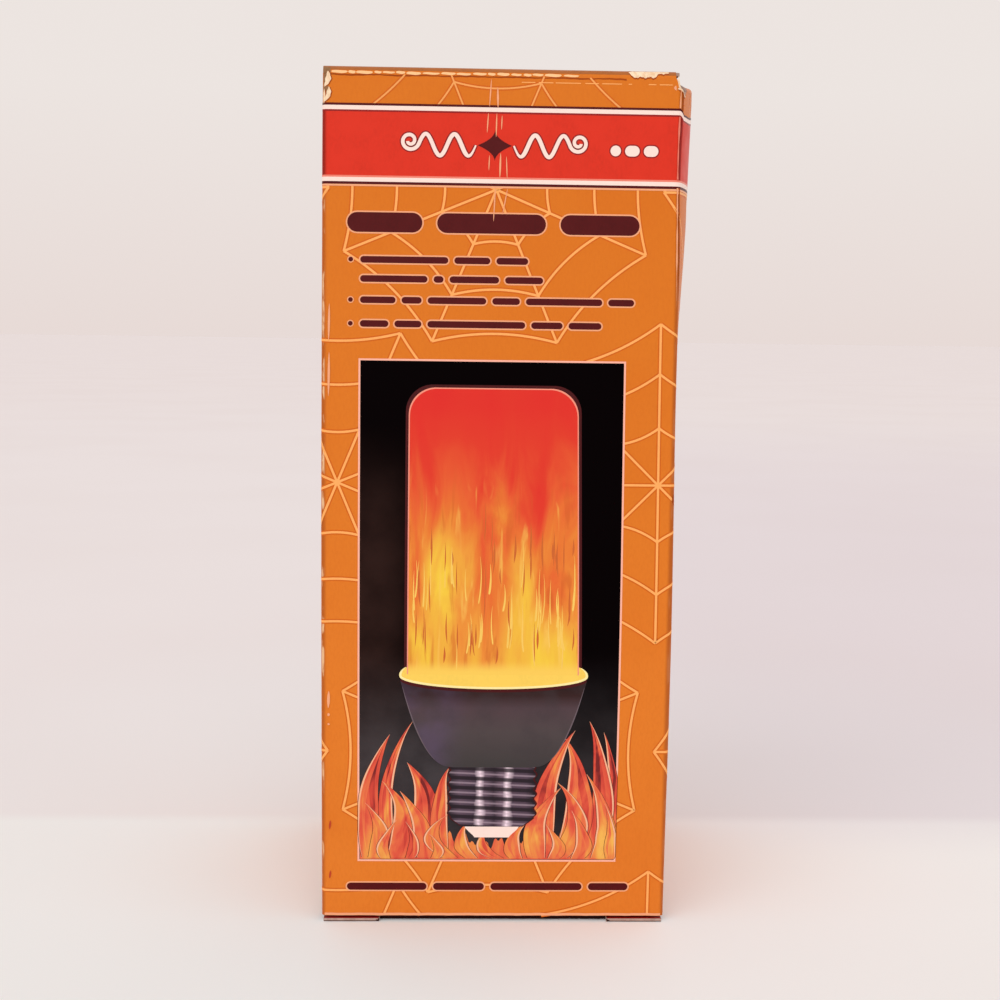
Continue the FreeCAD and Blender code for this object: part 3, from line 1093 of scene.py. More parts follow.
@dataclass
class Sleeve:
    """The four panels, the glued flap and the four dust flaps."""

    sheet: SleeveSheet
    finishes: Finishes
    edge: float = 0.05
    flap_step: float = 3.0
    flap_slope: float = 4.0
    torn_top: float = 162.9
    torn: Pair = (32.85, 36.0)

    def ends(self, along: Array) -> tuple[Array, Array]:
        """The lowest and highest point of the board at each place along the sheet.

        The front and back reach the lids' creases or the cut edges, the sides stop where
        the dust flaps fold in, and a zigzag is torn out of the front's right top corner.

        Args:
            along: places along the sheet.

        Returns:
            The low ends and the high ends.
        """
        marks = self.sheet.marks
        side_low = FORM.height - FORM.side_top + FORM.crease
        side_high = FORM.side_top - FORM.crease
        front_low, back_high = FORM.cut_edge, FORM.height - FORM.cut_edge
        back_low, front_high = FORM.hinge, FORM.hinge_start
        levels = ((side_low, side_high), (front_low, front_high), (side_low, side_high),
                  (back_low, back_high), (side_low + self.flap_step, side_high - self.flap_step))
        edges = marks[[0, 1, 4, 5, 8, -1]]
        places = np.stack([edges[:-1] + self.edge, edges[1:] - self.edge], axis=1).ravel()
        low, high = (np.interp(along, places, np.repeat(row, 2)) for row in zip(*levels))
        slope = np.clip((along - marks[8]) / (marks[-1] - marks[8]), 0.0, 1.0) * self.flap_slope
        low, high, (first, last) = low + slope, high - slope, self.torn
        inside = smooth_step(along, first - 0.1, first + 0.45)
        inside = inside * (1.0 - smooth_step(along, last - 1.2, last))
        zigzag = 0.35 * np.abs(np.mod(along * 1.7, 1.0) - 0.5)
        return low, high - inside * (high - self.torn_top + zigzag)

    def build_wall(self) -> None:
        """The panels and the glued flap, as one sheet carried round the sleeve."""
        marks = self.sheet.marks
        tear = np.arange(self.torn[0] - 0.3, self.torn[1] + 0.6, 0.15) + 0.007
        along = np.union1d(self.sheet.columns(marks[0], marks[-1]), tear)
        low, high = self.ends(along)
        shares = np.unique(np.concatenate([even(84), [0.003, 0.006, 0.994, 0.997]]))
        up, places = between(low, high, shares, along)
        shell = Shell()
        shell.slab(self.sheet.at, places, up)
        settle(shell.build("carton_wall", self.finishes.sheet), Body.CARTON, "carton_sleeve")

    def build_dust_flaps(self) -> None:
        """Four flaps, each a rolled fold and a tapered flat with round corners at its tip."""
        tip_length = FORM.flat - FORM.dust_tip
        fold = FORM.bend
        along = spans((0.0, fold, 8), (fold, fold + tip_length - FORM.dust_corner, 12))
        turn = np.radians(np.linspace(8.0, 90.0, 8))
        rounded = fold + tip_length - FORM.dust_corner * (1.0 - np.sin(turn))
        along = np.concatenate([along, rounded])
        taper = np.clip((along - fold) / tip_length, 0.0, 1.0)
        half = FORM.dust_half + (FORM.dust_tip_half - FORM.dust_half) * taper
        half = half - drawn_in(along - fold - tip_length + FORM.dust_corner, FORM.dust_corner)
        across, places = between(-half, half, even(33), along)
        for right in (True, False):
            for top in (True, False):
                shell = Shell()
                shell.slab(self._flap_surface(right, top), across, places)
                name = f"dust_flap_{'top' if top else 'bottom'}_{'right' if right else 'left'}"
                settle(shell.build(name, self.finishes.sheet), Body.CARTON)

    def _flap_surface(self, right: bool, top: bool) -> Surface:
        """The surface of one dust flap, from its panel's end over the fold and inwards.

        Args:
            right, top: which of the four flaps.

        Returns:
            The surface, for a slab.
        """
        start = FORM.side_top - FORM.crease
        flat = FORM.flat - FORM.dust_tip
        path = Path((FORM.half_width, start), 90.0, ((FORM.bend, 90.0), (flat, 0.0)))

        def surface(across: Array, along: Array, depth: float) -> Array:
            """Puts a point of the flap into space.

            Args:
                across, along: places across the flap and along its length.
                depth: how far under the print.

            Returns:
                The points (.., 3).
            """
            points, normals = path.at(along)
            section = points - normals * depth
            x, z = section[..., 0], section[..., 1]
            y = across if right == top else -across
            z = z if top else FORM.height - z
            return self.sheet.bulge.apply(np.stack([x if right else -x, y, z], axis=-1))

        return surface


@dataclass
class Lid:
    """A lid: its panel with two ears, its fold, and its tuck flap with two winged ends."""

    sheet: LidSheet
    finishes: Finishes
    body: Body
    torn: bool = False

    def widths(self, along: Array) -> tuple[float, Values]:
        """The panel's left and right end; the torn corner takes a bite of the right one.

        Args:
            along: places along the lid.

        Returns:
            The left end and the right ends.
        """
        if not self.torn:
            return -FORM.lid_half, FORM.lid_half
        bite = 1.1 * (1.0 - smooth_step(along, 0.2, 1.3))
        ragged = 0.12 * np.abs(np.sin(along * 9.0)) * (bite > 0)
        return -FORM.lid_half, FORM.lid_half - bite - ragged

    def build(self) -> None:
        """The panel and ears, then the fold with the tuck flap, then the two wings.

        All of them meet in the same points, so that they join into one board.
        """
        sheet, shell = self.sheet, Shell()
        half, fold_half = FORM.lid_half, FORM.lid_half - FORM.slit
        columns = spans((-half, -fold_half, 8), (-fold_half, fold_half, 32), (fold_half, half, 8))
        shares = (columns + half) / (2.0 * half)
        along = spans((0.0, 1.6, 8), (1.6, sheet.panel, 30))
        shell.slab(sheet.ear_at, *between(*self.widths(along), shares, along))
        ear = np.linspace(sheet.panel, sheet.ears, 5)
        for side in SIDES:
            low, high = sorted((side * fold_half, side * half))
            shell.slab(sheet.ear_at, *between(low, high, even(9), ear))
        fold_end = sheet.panel + sheet.fold
        last = fold_end + FORM.tuck
        corner = last - FORM.tuck_corner * (1.0 - np.sin(np.radians(90.0 * even(12))))
        wing = np.concatenate([np.linspace(fold_end + FORM.slit_gap, corner[0], 5)[:-1], corner])
        along = np.concatenate([np.linspace(sheet.panel, fold_end, 11), wing])
        shell.slab(sheet.at, *between(-fold_half, fold_half, even(33), along))
        reach = FORM.tuck_half - drawn_in(wing - corner[0], FORM.tuck_corner)
        for low, high in ((-reach, -fold_half), (fold_half, reach)):
            shell.slab(sheet.at, *between(low, high, even(9), wing))
        piece = shell.build(f"{self.body.label}_board", self.finishes.lid)
        settle(piece, self.body, self.body.label)


@dataclass
class LidCrease:
    """The rolled crease that joins a lid to its panel."""

    sheet: FoldSheet
    finishes: Finishes
    body: Body

    def joined(self, piece: Object) -> None:
        """Bakes a piece's placement into its mesh; the crease's two ends are worked out but not
        used.

        Args:
            piece: the object.
        """
        y, low = FORM.half_depth, FORM.hinge_start
        first, last = Vector((0.0, -y, low)), Vector((0.0, FORM.hinge - y, FORM.height))
        if self.sheet.under:
            first, last = (Vector((0.0, -p.y, FORM.height - p.z)) for p in (first, last))
        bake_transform(piece)
        log.info("%s bends between carton and %s", piece.name, self.body.label)

    def build(self) -> None:
        """The crease: a quarter turn of board as wide as the lid."""
        under = self.sheet.under
        left = -FORM.lid_half if under else 0.1 - FORM.half_width
        right = FORM.lid_half if under else FORM.lid_half - 1.0
        across, places = between(left, right, even(65), FORM.hinge_bend * even(13))
        shell = Shell()
        shell.slab(self.sheet.at, across, places)
        self.joined(shell.build(f"{self.body.label}_crease", self.finishes.lid))


def curve(foot: Pair | Array, bend: Pair, tip: Pair, count: int = 28) -> Array:
    """A curve from foot to tip: (1 - t)^2 foot + 2 t (1 - t) bend + t^2 tip.

    Args:
        foot, bend, tip: its ends and the point it bends towards.
        count: how many points.

    Returns:
        The points (count, 2).
    """
    share = even(count)[:, None]
    ends = (1.0 - share) ** 2 * np.array(foot) + share**2 * np.array(tip)
    return ends + 2.0 * share * (1.0 - share) * np.array(bend)


# The thickness of a film of ink, and how far above the board the outer faces of films lie.
# Where films of one piece cross, each lies a little higher than the one drawn before it.
FILM = 0.015
FIELD, OUTLINE, HAIRLINE, SHADE, LINE, SCROLL = 0.045, 0.05, 0.06, 0.062, 0.065, 0.08


class Printing:
    """Thin layers of ink on a sheet, gathered by piece."""

    def __init__(self, surface: Surface, *inks: Material) -> None:
        """Starts a print on a surface that takes (along, up, depth), with all of its inks."""
        self.surface, self.inks, self.shell = surface, inks, Shell()

    def layer(self, along: Array, up: Array, lift: float, ink: Material) -> None:
        """Adds a closed film of ink over a grid, a lift above the board."""
        slot = self.inks.index(ink)
        self.shell.slab(self.surface, along, up, -lift, FILM - lift, (slot, slot, slot))

    def field(self, across: Pair, height: Pair, lift: float, ink: Material,
              steps: tuple[int, int] = (12, 12)) -> None:
        """A rectangle of ink.

        Args:
            across, height: its ends along the sheet and its ends in height.
            lift, ink: as for a layer.
            steps: its faces along and up.
        """
        along, up = np.meshgrid(np.linspace(*across, steps[0] + 1),
                                np.linspace(*height, steps[1] + 1), indexing="ij")
        self.layer(along, up, lift, ink)

    def region(self, up: Array, middle: Values, half: Array, lift: float, ink: Material,
               columns: int = 8) -> None:
        """A shape half a width to either side of a middle, all functions of the height."""
        grid, rows = between(middle - half, middle + half, even(columns + 1), up)
        self.layer(grid[::-1], rows[::-1], lift, ink)

    def span(self, along: Array, low: Values, high: Values, lift: float,
             ink: Material, rows: int = 6) -> None:
        """A shape between two outlines that are functions of the place along the sheet."""
        up, places = between(low, high, even(rows + 1), along)
        self.layer(places, up, lift, ink)

    def stroke(self, points: Array, width: Values, lift: float, ink: Material) -> None:
        """A ribbon of ink along a line: each point is moved half a width along its normal.

        Args:
            points: (n, 2) places along and up the sheet, two or more.
            width: the ribbon's width, or one for each point.
            lift: the height above the board.
            ink: one of the piece's materials.
        """
        ahead = np.gradient(points, axis=0)
        ahead = ahead / np.maximum(np.linalg.norm(ahead, axis=1, keepdims=True), 1e-9)
        normal = np.stack([ahead[:, 1], -ahead[:, 0]], axis=1)
        half = np.broadcast_to(np.asarray(width, float), (len(points),))[:, None] / 2.0
        sides = np.stack([points - normal * half, points + normal * half], axis=1)
        self.layer(sides[..., 0][:, ::-1], sides[..., 1][:, ::-1], lift, ink)

    def bar(self, left: float, right: float, middle: float, height: float, lift: float,
            ink: Material) -> None:
        """A bar with round ends: its half height follows a circle near each end.

        Args:
            left, right, middle, height: its ends, its middle's height and its own height.
            lift, ink: as for a layer.
        """
        radius = height / 2.0
        turn = np.radians(np.linspace(8.0, 90.0, 6))
        head = left + radius * (1.0 - np.cos(turn))
        along = np.concatenate([head, (left + right - head)[::-1]])
        half = radius * np.concatenate([np.sin(turn), np.sin(turn)[::-1]])
        self.span(along, middle - half, middle + half, lift, ink, 2)

    def chip(self, foot: Pair, bend: Pair, tip: Pair, width: float, lift: float,
             ink: Material) -> None:
        """A chip in the print, round a curve that rises from foot to tip.

        Its half width is half of width * sin(pi t)^0.8 at the share t of the curve, uneven
        by 1 + 0.14 sin(17 t + foot's height).

        Args:
            foot, bend, tip: the curve.
            width: its greatest width.
            lift, ink: as for a layer.
        """
        line, share = curve(foot, bend, tip, 24), even(24)
        uneven = 1.0 + 0.14 * np.sin(17.0 * share + foot[1])
        half = 0.02 + width / 2.0 * np.sin(np.pi * share) ** 0.8 * uneven
        self.region(line[:, 1], line[:, 0], half, lift, ink, 6)

    def scratch(self, along: float, low: float, high: float, width: float, lean: float,
                ink: Material) -> None:
        """An upright scratch that is widest at its middle and runs to two points.

        Args:
            along, low, high: where it stands.
            width, lean: its greatest width, and how far its top leans.
            ink: one of the piece's materials.
        """
        share = even(14)
        points = np.stack([along + lean * share, low + (high - low) * share], axis=1)
        self.stroke(points, 0.04 + width * np.sin(np.pi * share) ** 0.7, 0.1, ink)

    def build(self, name: str) -> Object:
        """Makes the print's object."""
        return self.shell.build(name, self.inks)

    def settled(self, name: str) -> None:
        """Makes the print's object, which rides on the sleeve."""
        settle(self.build(name), Body.CARTON)


@dataclass
class SleevePrint:
    """A part of the print: it lies on the sleeve's sheet and has the carton's inks."""

    sheet: SleeveSheet
    finishes: Finishes

    def printing(self, *inks: Material) -> Printing:
        """Starts a piece of this print."""
        return Printing(self.sheet.at, *inks)


@dataclass(frozen=True)
class Web:
    """A traditional web: eight spokes and three rings whose sides sag to the hub."""

    along: float
    up: float
    turned: float
    rings: tuple[float, ...] = (11.1, 21.5, 31.1)
    sag: float = 0.066

    def strands(self) -> list[Array]:
        """The web's lines.

        A spoke runs straight from the hub to the last ring. A ring's side runs between two
        spokes as the chord, moved to the hub by sag * chord * 4 t (1 - t).

        Returns:
            One (n, 2) array for each line, with points about 0.2 mm apart.
        """
        hub = np.array([self.along, self.up])
        angles = np.radians(self.turned + 45.0 * np.arange(9))
        spokes = np.stack([np.cos(angles), np.sin(angles)], axis=1)
        lines = []
        for spoke in spokes[:8]:
            share = even(160)[:, None]
            lines.append(hub + share * spoke * self.rings[-1])
        for ring in self.rings:
            share = even(int(ring * 3.8))[:, None]
            for first, last in zip(spokes[:-1], spokes[1:]):
                chord = hub + ring * (first + share * (last - first))
                inward = -(first + last) / np.linalg.norm(first + last)
                length = ring * np.linalg.norm(last - first)
                lines.append(chord + inward * self.sag * length * 4.0 * share * (1.0 - share))
        return lines


def clipped(lines: Iterable[Array], keep: Callable[[Array], Array]) -> list[Array]:
    """Cuts lines down to the stretches whose points are kept.

    Args:
        lines: (n, 2) arrays of points.
        keep: gives a True or False for each point of a line.

    Returns:
        The kept stretches of two points or more.
    """
    kept = []
    for line in lines:
        inside = keep(line)
        cuts = np.flatnonzero(np.diff(inside.astype(int))) + 1
        for stretch, flags in zip(np.split(line, cuts), np.split(inside, cuts)):
            if flags[0] and len(stretch) > 1:
                kept.append(stretch)
    return kept


@dataclass
class Ornament(SleevePrint):
    """The web ornament, a staggered lattice of webs round the sleeve and over the top."""

    heights: tuple[float, ...] = (143.4, 34.5)
    staggered: tuple[float, ...] = (87.4, -21.0, 197.0)
    spoke: float = 0.0
    side: float = 22.5
    width: float = 0.44
    edge: float = 0.5
    crown: float = 158.0
    thinner: float = 0.7
    step: int = 5
    side_low: float = 2.3
    margin: float = 0.1
    band: Pair = (144.5, 158.6)
    panel_across: Pair = (-26.4, 23.6)
    panel_up: Pair = (12.7, 110.9)

    def webs(self) -> list[Web]:
        """The lattice: columns about 31 mm apart, at two sets of heights in turn.

        Returns:
            The webs.
        """
        spoke, side = self.spoke, self.side
        columns = ((-126.0, side), (-95.0, side), (-63.8, spoke), (-30.9, side), (-1.1, side),
                   (30.75, spoke), (62.2, spoke), (93.4, side), (124.6, side), (155.8, spoke),
                   (186.6, spoke))
        webs = []
        for index, (along, turned) in enumerate(columns):
            heights = self.staggered if index % 2 else self.heights
            webs += [Web(along, up, turned) for up in heights]
        return webs

    def kept(self, line: Array) -> Array:
        """True where a point lies on printed board outside the band and the picture panel.

        Args:
            line: (n, 2) points.

        Returns:
            One flag for each point.
        """
        marks, margin, (along, up) = self.sheet.marks, self.margin, line.T
        front = within(along, (marks[1] - margin, marks[4] + margin))
        front_up = within(up, (FORM.cut_edge + margin, FORM.hinge_start))
        side_up = within(up, (self.side_low, FORM.side_top - FORM.crease - margin))
        board = np.where(front, front_up, side_up) & ~within(up, self.band)
        board &= within(along, (self.sheet.cut_edge + 3.0 * margin, self.sheet.print_end))
        return board & ~(within(along, self.panel_across) & within(up, self.panel_up))

    def build(self) -> None:
        """The webs on the wall, each line with a wider shade; fainter over the band.

        A line keeps each fifth of its points, its last one and those near a crease.
        """
        f = self.finishes
        printing = self.printing(f.web, f.web_shade, f.web_faint)
        lines = clipped((l for web in self.webs() for l in web.strands()), self.kept)
        for index, line in enumerate(lines):
            needed = np.abs(line[:, :1] - self.sheet.marks).min(axis=1) < 1.6
            needed |= np.arange(len(line)) % self.step == 0
            needed[-1] = True
            over, rank = line[0, 1] > self.crown, index % 9
            width = self.width * (self.thinner if over else 1.0)
            printing.stroke(line[needed], width + self.edge, 0.008 + 0.001 * rank, f.web_shade)
            printing.stroke(line[needed], width, 0.018 + 0.002 * rank,
                            f.web_faint if over else f.web)
        printing.settled("web_ornament")


@dataclass
class BandPrint(SleevePrint):
    """The red band round the sleeve, its pale rules, dark hairlines and scroll ornament."""

    top: float = 158.25
    bottom: float = 144.95
    rule: float = 0.8
    scroll_middle: float = -1.5
    scroll_up: float = 151.6
    swing: float = 2.0
    wave: float = 5.4
    curl: float = 1.75
    tighten: float = 1.3
    wound: float = math.radians(500.0)
    star: Pair = (3.1, 2.9)

    def around(self, printing: Printing, low: float, high: float, lift: float, ink: Material,
               rows: int = 1) -> None:
        """A strip right round the printed sheet, in the same columns as the wall.

        Args:
            printing: what it is added to.
            low, high: its edges.
            lift, ink: as for a layer.
            rows: its faces up.
        """
        places = self.sheet.columns(self.sheet.cut_edge, self.sheet.print_end)
        along, up = np.meshgrid(places, np.linspace(low, high, rows + 1), indexing="ij")
        printing.layer(along, up, lift, ink)

    def build(self) -> None:
        """The red field, then the rules and hairlines, then the ornament on the front."""
        f = self.finishes
        band = self.printing(f.red)
        self.around(band, self.bottom, self.top, FIELD, f.red, 10)
        band.settled("red_band")
        rules = self.printing(f.white, f.maroon, f.halo, f.deep_red, f.blush)
        half = self.rule / 2.0
        over, under = self.top + half, self.top - half
        above, below = self.bottom + half, self.bottom - half
        self.around(rules, under, over, LINE, f.white)
        self.around(rules, below, above, LINE, f.white)
        for low, high, ink in ((over, over + 0.42, f.maroon), (under - 0.34, under, f.deep_red),
                               (below - 0.5, below, f.maroon), (above, above + 0.36, f.blush),
                               (below - 0.85, below - 0.5, f.halo)):
            self.around(rules, low, high, HAIRLINE, ink)
        rules.settled("band_rules")
        self.build_ornament()

    def scroll(self, side: float) -> Array:
        """Half of the ornament: two swings of a wave that run into a spiral.

        The wave is -swing * sin(2 pi t / wave) over two waves. The spiral's radius falls from
        curl by tighten while it turns by the angle wound.

        Args:
            side: -1 for the left half, 1 for the right one.

        Returns:
            (n, 2) places along and up the sheet.
        """
        reach = np.linspace(0.0, 2.0 * self.wave, 90)
        pace = 2.0 * np.pi / self.wave
        wave = np.stack([3.6 + reach, -self.swing * np.sin(pace * reach)], axis=1)
        ahead = np.array([1.0, -self.swing * pace])
        ahead = ahead / np.linalg.norm(ahead)
        centre = wave[-1] + self.curl * np.array([-ahead[1], ahead[0]])
        first = math.atan2(wave[-1, 1] - centre[1], wave[-1, 0] - centre[0])
        share = np.linspace(0.02, 1.0, 70)
        angle = first + self.wound * share
        radius = (self.curl - self.tighten * share)[:, None]
        curl = centre + radius * np.stack([np.cos(angle), np.sin(angle)], axis=1)
        line = np.concatenate([wave, curl])
        return np.array([self.scroll_middle, self.scroll_up]) + line * np.array([side, 1.0])

    def build_ornament(self) -> None:
        """Two mirrored scrolls, a dark four-pointed star between them, and three small bars."""
        f = self.finishes
        ornament = self.printing(f.white, f.maroon, f.deep_red)
        for side in SIDES:
            line = self.scroll(side)
            share = even(len(line))
            width = 0.82 - 0.5 * (1.0 - smooth_step(share, 0.0, 0.12)) - 0.22 * share
            ornament.stroke(line, width + 0.5, SHADE, f.deep_red)
            ornament.stroke(line, width, SCROLL, f.white)
        rows = np.linspace(-1.0, 1.0, 41)
        reach = (1.0 - np.abs(rows)) ** 2.2 + 0.04 * (1.0 - np.abs(rows))
        ornament.region(self.scroll_up + rows * self.star[1], self.scroll_middle,
                        self.star[0] * reach + 0.01, SCROLL + 0.005, f.maroon, 4)
        for left, right in ((20.6, 22.6), (23.4, 26.2), (27.0, 29.8)):
            ornament.bar(left - 0.25, right + 0.25, 151.0, 2.5, SHADE, f.deep_red)
            ornament.bar(left, right, 151.0, 2.0, SCROLL, f.white)
        ornament.settled("band_ornament")


@dataclass
class PlainLines(SleevePrint):
    """Rows of plain bars with a pale halo, in the places of the front's printed lines."""

    halo: float = 0.28
    dot_halo: float = 0.2

    def haloed(self, printing: Printing, left: float, right: float, middle: float,
               height: float, halo: float) -> None:
        """A dark bar over a pale one that is wider all round by the halo.

        Args:
            printing: what it is added to.
            left, right, middle, height: the dark bar, as for Printing.bar.
            halo: how far the pale one stands out.
        """
        printing.bar(left - halo, right + halo, middle, height + 2.0 * halo, FIELD,
                     self.finishes.halo)
        printing.bar(left, right, middle, height, LINE, self.finishes.maroon)

    def row(self, printing: Printing, left: float, right: float, middle: float, height: float,
            gap: float, lengths: Sequence[float]) -> None:
        """One row of bars that fills a stretch: lengths are shares of what the gaps leave.

        Args:
            printing: what it is added to.
            left, right: the ends of the row.
            middle, height: its bars' middle and height.
            gap, lengths: the space between bars, and their lengths to scale.
        """
        free = right - left - gap * (len(lengths) - 1)
        for share in np.array(lengths) / sum(lengths):
            self.haloed(printing, left, left + free * share, middle, height, self.halo)
            left += free * share + gap

    def build(self) -> None:
        """The large row, the four small rows with their dots, and the row at the foot."""
        printing = self.printing(self.finishes.maroon, self.finishes.halo)
        self.row(printing, -29.2, 26.4, 137.0, 3.7, 2.8, (14.2, 20.7, 15.2))
        for right, middle, lengths in ((5.1, 130.0, (11.0, 4.5, 4.0)),
                                       (8.0, 126.4, (9.5, 1.4, 7.0, 5.4)),
                                       (25.5, 122.4, (4.6, 2.6, 7.6, 3.6, 10.0, 3.4)),
                                       (19.3, 117.9, (3.6, 3.4, 12.4, 4.0, 4.2))):
            self.row(printing, -26.7, right, middle, 1.25, 1.15, lengths)
        for middle in (130.0, 122.4, 117.9):
            self.haloed(printing, -28.95, -28.05, middle, 0.9, self.dot_halo)
        self.row(printing, -29.0, 26.7, 7.0, 1.45, 1.3, (10.0, 6.4, 11.5, 5.0))
        printing.settled("plain_line_print")


@dataclass(frozen=True)
class Flame:
    """One flame of the pictured fire: its curve, its width, and whether it is a warm one."""

    foot: Pair
    bend: Pair
    tip: Pair
    width: float
    warm: bool = False


@dataclass(frozen=True)
class LampForm:
    """The heights, half widths and other lengths of the pictured lamp."""

    insulator: Pair = (17.1, 19.6)
    base: Pair = (19.3, 32.4)
    base_half: float = 8.3
    base_taper: float = 3.1
    threaded: Pair = (21.2, 31.0)
    thread: float = 0.26
    pitch: float = 1.96
    bowl: Pair = (31.3, 48.9)
    bowl_half: float = 7.6
    bowl_flare: float = 10.5
    rim_half: float = 18.1
    rim_up: float = 49.5
    rim_sag: float = 2.35
    rim_top: float = 51.3
    glow: Pair = (49.9, 105.65)
    glow_half: float = 16.45
    glow_corner: float = 5.2
    glow_taper: float = 0.028
    glow_lean: float = 0.42
    streaks: int = 86


@dataclass
class PicturePanel(SleevePrint):
    """The black panel with a plain picture of a glowing lamp above a fire."""

    left: float = -26.55
    right: float = 23.8
    low: float = 12.5
    high: float = 110.9
    outline: float = 0.36
    middle: float = -0.5
    lamp: LampForm = LampForm()
    flames: tuple[Flame, ...] = (
        Flame((-24.4, 13.0), (-26.4, 29.0), (-20.6, 37.8), 6.0),
        Flame((-20.6, 13.6), (-23.4, 30.0), (-16.2, 40.4), 3.9),
        Flame((-12.6, 14.0), (-12.4, 27.0), (-17.2, 32.2), 7.6),
        Flame((-10.4, 14.0), (-11.8, 26.0), (-9.0, 31.2), 4.8),
        Flame((23.0, 14.0), (24.4, 30.0), (21.2, 38.4), 3.4),
        Flame((20.0, 13.6), (23.2, 29.0), (18.4, 40.6), 6.4),
        Flame((14.6, 14.0), (19.4, 27.0), (13.6, 37.4), 8.2),
        Flame((9.6, 14.0), (8.6, 30.0), (15.6, 38.8), 6.6),
        Flame((-19.4, 12.9), (-15.2, 22.0), (-22.0, 28.4), 6.4, True),
        Flame((-23.4, 12.9), (-20.6, 18.6), (-25.4, 24.0), 5.2, True),
        Flame((-13.6, 12.9), (-13.6, 21.0), (-18.6, 26.4), 5.4, True),
        Flame((12.6, 12.9), (20.2, 21.0), (12.4, 28.2), 6.8, True),
        Flame((20.8, 12.9), (24.6, 20.0), (18.0, 30.0), 5.8, True),
        Flame((8.4, 12.9), (6.4, 21.0), (13.0, 27.2), 6.2, True),
        Flame((-8.6, 12.9), (-15.6, 17.4), (-9.2, 21.6), 5.2, True),
        Flame((-4.4, 12.8), (-8.4, 16.0), (-5.2, 20.2), 4.2, True),
        Flame((0.8, 12.8), (-4.2, 14.8), (-1.6, 18.2), 4.4),
        Flame((4.4, 12.8), (1.8, 16.2), (6.6, 20.4), 4.6, True),
        Flame((16.6, 12.8), (19.4, 16.2), (15.2, 22.6), 4.8, True),
        Flame((23.0, 12.8), (24.2, 17.0), (21.8, 24.0), 3.2),
        Flame((-21.4, 12.8), (-23.2, 15.4), (-19.2, 20.6), 3.4, True),
        Flame((-16.6, 12.8), (-14.6, 15.6), (-17.4, 20.2), 3.2),
        Flame((11.8, 12.8), (14.4, 14.8), (10.2, 19.8), 4.2, True),
        Flame((-11.6, 12.8), (-9.8, 14.6), (-12.8, 17.8), 3.0, True),
    )

    def build(self) -> None:
        """The panel and its outline, the fire, then the lamp from its foot up."""
        f = self.finishes
        panel = self.printing(f.black, f.pale_line)
        panel.field((self.left, self.right), (self.low, self.high), FIELD, f.black, (20, 40))
        left, right = self.left - self.outline, self.right + self.outline
        low, high = self.low - self.outline, self.high + self.outline
        for across in ((left, self.left), (self.right, right)):
            panel.field(across, (low, high), OUTLINE, f.pale_line)
        for height in ((self.high, high), (low, self.low)):
            panel.field((left, right), height, OUTLINE + 0.002, f.pale_line)
        panel.settled("picture_panel")
        self.build_fire()
        self.build_lamp()

    def build_fire(self) -> None:
        """A low glowing bed, then the flames in order: outline, body, folds and lit edge.

        A flame's half width is half of width (1 - t)^0.8 (0.55 + 1.7 t (1 - t)) at the share
        t of its curve. Its lit edge lies right and left in turn, and its dark fold opposite.
        """
        f = self.finishes
        fire = self.printing(f.fire_dark, f.fire, f.fire_warm, f.fire_edge, f.fire_fold,
                             f.fire_core)
        along = np.linspace(self.left + 0.1, self.right - 0.1, 160)
        out = np.abs(along - self.middle) / 25.0
        ragged = 0.8 * np.sin(along * 1.9) + 0.6 * np.sin(along * 4.3 + 1.0)
        fire.span(along, self.low + 0.1, self.low + 3.4 + 4.0 * out + ragged, HAIRLINE, f.fire, 8)
        low, high = self.left - 0.25, self.right + 0.25
        share = even(30)
        arch = share * (1.0 - share)
        for index, flame in enumerate(self.flames):
            lift, lit = 0.066 + index * 0.003, 1.0 if index % 2 else -1.0
            line = curve(flame.foot, flame.bend, flame.tip, 30)
            half = flame.width / 2.0 * (1.0 - share) ** 0.8 * (0.55 + 1.7 * arch)
            sway = 0.1 * flame.width * np.sin(share * 9.0 + index) * arch
            x, up = np.clip(line[:, 0] + sway, low + half, high - half), line[:, 1]
            body, fold = (f.fire_warm, f.fire) if flame.warm else (f.fire, f.fire_fold)
            fire.region(up, x, half + 0.11 * (1.0 - share**6), lift, f.fire_dark)
            fire.region(up, x, half + 0.02, lift + 0.001, body)
            for side, wide, ink, step in ((-lit, 0.3, fold, 0.0014),
                                          (lit, 0.24, f.fire_core, 0.0018)):
                swell = np.sin(np.pi * share**1.2) ** 1.2 * half
                middle = x + side * (0.28 + 0.2 * np.sin(share * 6.0 + index)) * half
                fire.region(up, middle, wide * swell + 0.02, lift + step, ink, 4)
            thin = 0.025 + 0.15 * np.sin(np.pi * share) ** 1.2
            fire.region(up, x + lit * (half - thin), thin, lift + 0.0022, f.fire_edge, 2)
        fire.settled("picture_fire")

